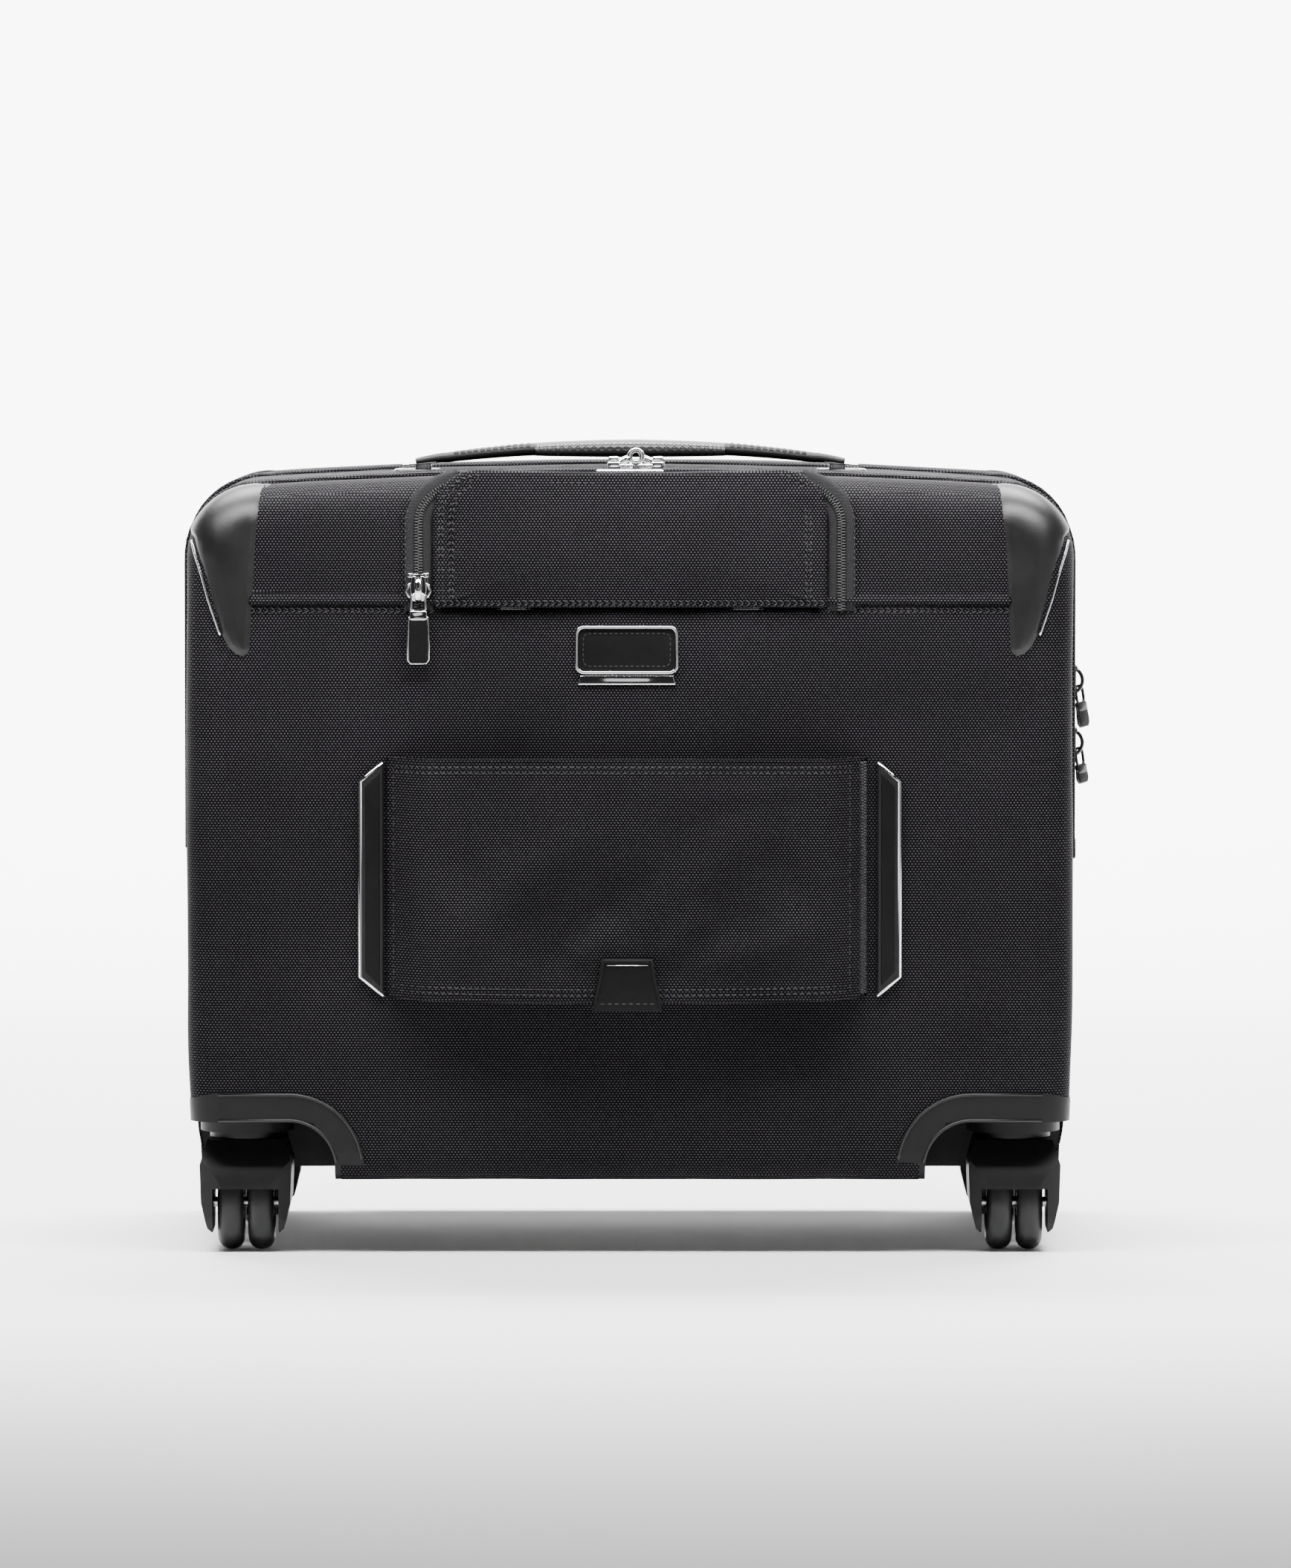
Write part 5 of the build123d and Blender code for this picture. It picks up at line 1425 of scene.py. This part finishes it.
def build_inside():
    """Lined board, quilted laptop divider, its strap and the lid's net pocket."""
    low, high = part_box("liner_board")
    board = cushion("liner_panel", panel_shape("liner_board", 18 * MM), low.y, (high.y - low.y) - 0.4 * MM,
                    1.4 * MM, 0.3 * MM, LINING, facing=1, rings=6)
    assign(board, "case", "lining", "liner_board")
    low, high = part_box("laptop_divider")
    parts = []
    for facing in (-1, 1):
        pad = cushion("pad", panel_shape("laptop_divider", 24 * MM), (low.y + high.y) / 2, 2.4 * MM,
                      1.8 * MM, 0.7 * MM, LINING, facing=facing, rings=20)
        for vertex in pad.data.vertices:
            if facing * (vertex.co.y - (low.y + high.y) / 2) > 1.8 * MM:
                a = (vertex.co.x + vertex.co.z) / (30 * MM)
                b = (vertex.co.x - vertex.co.z) / (30 * MM)
                dip = math.exp(-((a - round(a)) / 0.07) ** 2) + math.exp(-((b - round(b)) / 0.07) ** 2)
                vertex.co.y -= facing * 0.7 * MM * min(1, dip)
        parts.append(pad)
    divider = join("laptop_divider_pad", parts)
    assign(divider, "case", "lining", "laptop_divider")
    edge = [(x, (low.y + high.y) / 2, z) for x, z in panel_shape("laptop_divider", 24 * MM)
            if z > low.z + 2 * MM]
    start = max(range(len(edge)), key=lambda k: math.dist(edge[k], edge[k - 1]))
    rope = sweep("laptop_divider_binding", edge[start:] + edge[:start], round_section(2.6 * MM, 10), TAPE,
                 ups=[Vector((0, 1, 0))])
    assign(rope, "case", "zip_tape")
    low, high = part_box("laptop_strap")
    top = high.z + 0.4 * MM
    path = [(0, low.y + 1 * MM, top - 2 * MM), (0, low.y + 4 * MM, top), (0, high.y - 3 * MM, top + 0.4 * MM),
            (0, high.y + 0.8 * MM, top - 3 * MM), (0, high.y + 0.6 * MM, top - 20 * MM),
            (0, high.y + 0.4 * MM, low.z)]
    path = resample(path, 2 * MM)
    strap = webbing("laptop_strap_webbing", path, 37 * MM, 1.5 * MM)
    assign(strap, "case", "lining", "laptop_strap")
    low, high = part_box("lid_pocket")
    net = cushion("lid_net_pocket", panel_shape("lid_pocket", 16 * MM), high.y, 1.2 * MM, 0.8 * MM,
                  1.6 * MM, MESH_NET, facing=-1, rings=10)
    assign(net, "lid", "lining", "lid_pocket")
    bind = [(x, high.y - 1.2 * MM, high.z - 0.5 * MM)
            for x in np.linspace(low.x + 14 * MM, high.x - 14 * MM, 50)]
    assign(sweep("lid_net_binding", bind, round_section(3.2 * MM, 10, 0.45), WEBBING,
                 ups=[Vector((0, 1, 0))]),
           "lid", "zip_tape")


def webbing(name, path, width, thick):
    """Flat webbing whose face stays square to the path as it bends over."""
    verts = []
    for k, point in enumerate(path):
        ahead = Vector(path[min(k + 1, len(path) - 1)])
        behind = Vector(path[max(k - 1, 0)])
        tangent = (ahead - behind).normalized()
        normal = Vector((1, 0, 0)).cross(tangent).normalized()
        for a, b in ((-1, -0.5), (1, -0.5), (1, 0.5), (-1, 0.5)):
            verts.append(Vector(point) + Vector((1, 0, 0)) * a * width / 2 + normal * b * thick)
    faces = quads((len(path), 4), wrap_columns=True) + [(0, 1, 2, 3),
                                                        tuple(len(verts) - 4 + k for k in range(4))]
    obj = put(name, verts, faces, WEBBING)
    tidy_normals(obj)
    bevel(obj, 0.4 * MM, 2, 40)
    apply_modifiers(obj)
    return obj


# ---------------------------------------------------------------- front of the lid
def build_front():
    """Padded front pocket with piping, its zip and the hinge strip under the lid."""
    low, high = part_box("front_pocket")
    shape = rounded_shape((low.x, high.x), (low.z, high.z), (22 * MM,) * 4, 3 * MM)
    pocket = cushion("front_pocket_pad", shape, FRONT_Y + SKIN * 0.6, 6.0 * MM, 6 * MM, 3.2 * MM, NYLON,
                     facing=1, rings=26)
    for vertex in pocket.data.vertices:
        if vertex.co.y > FRONT_Y + 6 * MM:
            vertex.co.y += swell(vertex.co, 1.2 * MM, 14, 6) + swell(vertex.co, 0.6 * MM, 34, 9)
    assign(pocket, "lid", "nylon", "front_pocket")
    ring = [(x, FRONT_Y + SKIN + 0.8 * MM, z) for x, z in rounded_shape(
        (low.x - 1 * MM, high.x + 1 * MM), (low.z - 1 * MM, high.z + 1 * MM), (22 * MM,) * 4, 3 * MM)]
    piping = sweep("front_pocket_piping", ring, round_section(1.4 * MM, 10), LEATHER,
                   ups=[Vector((0, 1, 0))], closed=True)
    assign(piping, "lid", "leather")
    inner = [(x, FRONT_Y + SKIN + 5.9 * MM, z) for x, z in rounded_shape(
        (low.x + 6 * MM, high.x - 6 * MM), (low.z + 6 * MM, high.z - 6 * MM), (17 * MM,) * 4, 3 * MM)]
    assign(stitch_line("front_pocket_stitching", inner + inner[:1], (0, 1, 0)), "lid", "nylon")
    low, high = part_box("front_pocket_zip")
    z = (low.z + high.z) / 2
    run = [(x, FRONT_Y + SKIN, z) for x in np.linspace(low.x, high.x, 60)]
    assign(sweep("front_pocket_tape", run, strip_section(14 * MM, 1.0 * MM), TAPE, ups=[Vector((0, 1, 0))]),
           "lid", "zip_tape", "front_pocket_zip")
    chain = [Vector(p) + Vector((0, 1.1 * MM, 0)) for p in run]
    assign(coil_chain("front_pocket_coil", chain, (0, 1, 0)), "lid", "zip_tape")
    parts = []
    for side in (-1, 1):
        line = [Vector(p) + Vector((0, 0.9 * MM, side * 5.4 * MM)) for p in run]
        parts.append(stitch_line("stitch", line, (0, 1, 0)))
        rope = [Vector(p) + Vector((0, 0.2 * MM, side * 7.6 * MM)) for p in run]
        parts.append(sweep("piping", rope, round_section(1.2 * MM, 8), NYLON, ups=[Vector((0, 1, 0))]))
    assign(join("front_pocket_zip_edges", parts), "lid", "nylon")
    low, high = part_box("front_pocket_slider")
    place = Place((low.x + 1 * MM, low.y + 0.6 * MM, z), (0, 0, -1), (-1, 0, 0))
    place.origin.x += 11 * MM
    parts = [prism(place, [(-3.2, 0), (3.2, 0), (4.4, 4), (3.8, 10.6), (-3.8, 10.6), (-4.4, 4)], 0.4, 2.6,
                   CHROME, 0.5),
             prism(place, round_rect(8.6, 18.5, 1.6, (0, -9.6)), 3.0, 4.4, LEATHER, 0.5),
             wire(place, [(a, b, 3.6) for a, b in round_rect(8.8, 19.5, 2, (0, -9.6))], 0.6, CHROME,
                  closed=True)]
    assign(join("pocket_zip_pull", parts), "pocket_slider", "chrome", "front_pocket_slider")
    low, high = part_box("lid_hinge_strip")
    z = (low.z + high.z) / 2
    run = [(x, FRONT_Y + SKIN * 0.8, z) for x in np.linspace(low.x, high.x, 40)]
    strip = sweep("hinge_webbing", run, strip_section(high.z - low.z, 1.1 * MM), WEBBING,
                  ups=[Vector((0, 1, 0))])
    assign(strip, "case", "nylon", "lid_hinge_strip")


# ---------------------------------------------------------------- studio
def choose(tree, which, first, second, output):
    """Show the first shader, or the second where which is 1."""
    pick = tree.nodes.new("ShaderNodeMixShader")
    for socket, source in zip(pick.inputs, (which, first, second)):
        tree.links.new(source, socket)
    tree.links.new(pick.outputs[0], output.inputs["Surface"])


def build_stage():
    """Pale floor that curves up into a backdrop, clear when seen from behind."""
    profile = [(-1.45, 0.0), (1.6, 0.0)]
    for a in np.linspace(0, math.pi / 2, 16)[1:]:
        profile.append((1.6 + 2.0 * math.sin(a), 2.0 * (1 - math.cos(a))))
    profile.append((3.6, 8.0))
    verts = [(x, y, z) for x in (-9.0, 9.0) for y, z in profile]
    count = len(profile)
    faces = [(count + k, count + k + 1, k + 1, k) for k in range(count - 1)]
    n = Nodes("studio_paper")
    tone = n.mix(n.noise(2.0, 2), (0.80, 0.80, 0.80, 1), (0.84, 0.84, 0.84, 1))
    n.set(colour=tone, rough=0.9, spec=0.1, normal=n.bump(n.noise(300, 2), 0.0002, 0.15))
    output = n.tree.nodes["Material Output"]
    clear = n.add("ShaderNodeBsdfTransparent")
    behind = n.add("ShaderNodeNewGeometry").outputs["Backfacing"]
    choose(n.tree, behind, n.shader.outputs[0], clear.outputs[0], output)
    paper = put("studio_paper", verts, faces, n.material)


def lamp(name, place, aim, size, power, spread=180):
    data = bpy.data.lights.new(name, "AREA")
    data.shape = "RECTANGLE"
    data.spread = math.radians(spread)
    data.size, data.size_y = size
    data.energy = power
    obj = bpy.data.objects.new(name, data)
    obj.location = place
    obj.rotation_euler = (Vector(aim) - Vector(place)).to_track_quat("-Z", "Y").to_euler()
    obj.visible_camera = False
    bpy.context.scene.collection.objects.link(obj)


def build_light():
    """Soft studio lamps in a dim room that the camera sees as pale."""
    world = bpy.data.worlds.new("studio")
    bpy.context.scene.world = world
    world.use_nodes = True
    tree = world.node_tree
    fill = tree.nodes["Background"]
    fill.inputs[0].default_value = (1, 1, 1, 1)
    fill.inputs[1].default_value = 0.025
    seen = tree.nodes.new("ShaderNodeBackground")
    seen.inputs[1].default_value = 5.0
    ray = tree.nodes.new("ShaderNodeLightPath")
    choose(tree, ray.outputs["Is Camera Ray"], fill.outputs[0], seen.outputs[0], tree.nodes["World Output"])
    lamp("overhead_front", (0, -0.30, 0.70), (0, -0.12, 0.33), (1.1, 0.14), 21)
    lamp("overhead", (0, 0.45, 1.25), (0, -0.08, 0.36), (1.7, 0.5), 17, 100)
    lamp("card_left", (-2.6, -3.0, 1.0), (0, 0, 0.25), (1.4, 2.4), 2)
    lamp("card_right", (2.2, -2.6, 1.0), (0, 0, 0.25), (1.4, 2.4), 7)
    lamp("card_front", (0, -6.6, 0.4), (0, 0, 0.3), (1.6, 1.2), 6)
    lamp("backdrop", (0, 1.5, 3.2), (0, 2.7, 0.0), (5.0, 1.2), 700, 120)


def build_camera():
    data = bpy.data.cameras.new("photo_camera")
    data.sensor_width = 36
    data.lens = 241.6
    data.clip_end = 50
    data.dof.use_dof = False
    camera = bpy.data.objects.new("photo_camera", data)
    aim = Vector((7.4 * MM, REAR_Y, 225.4 * MM))
    camera.location = (7.4 * MM, REAR_Y - 5.0, 566 * MM)
    camera.rotation_euler = (aim - camera.location).to_track_quat("-Z", "Y").to_euler()
    bpy.context.scene.collection.objects.link(camera)
    bpy.context.scene.camera = camera


build_body()
build_flap()
build_rear_seam()
build_guards()
build_sleeve()
build_patch()
build_flap_slider()
build_side_sliders()
build_zips()
build_top_sliders()
build_carry()
build_base()
build_handle()
build_inside()
build_front()
build_stage()
build_light()
build_camera()
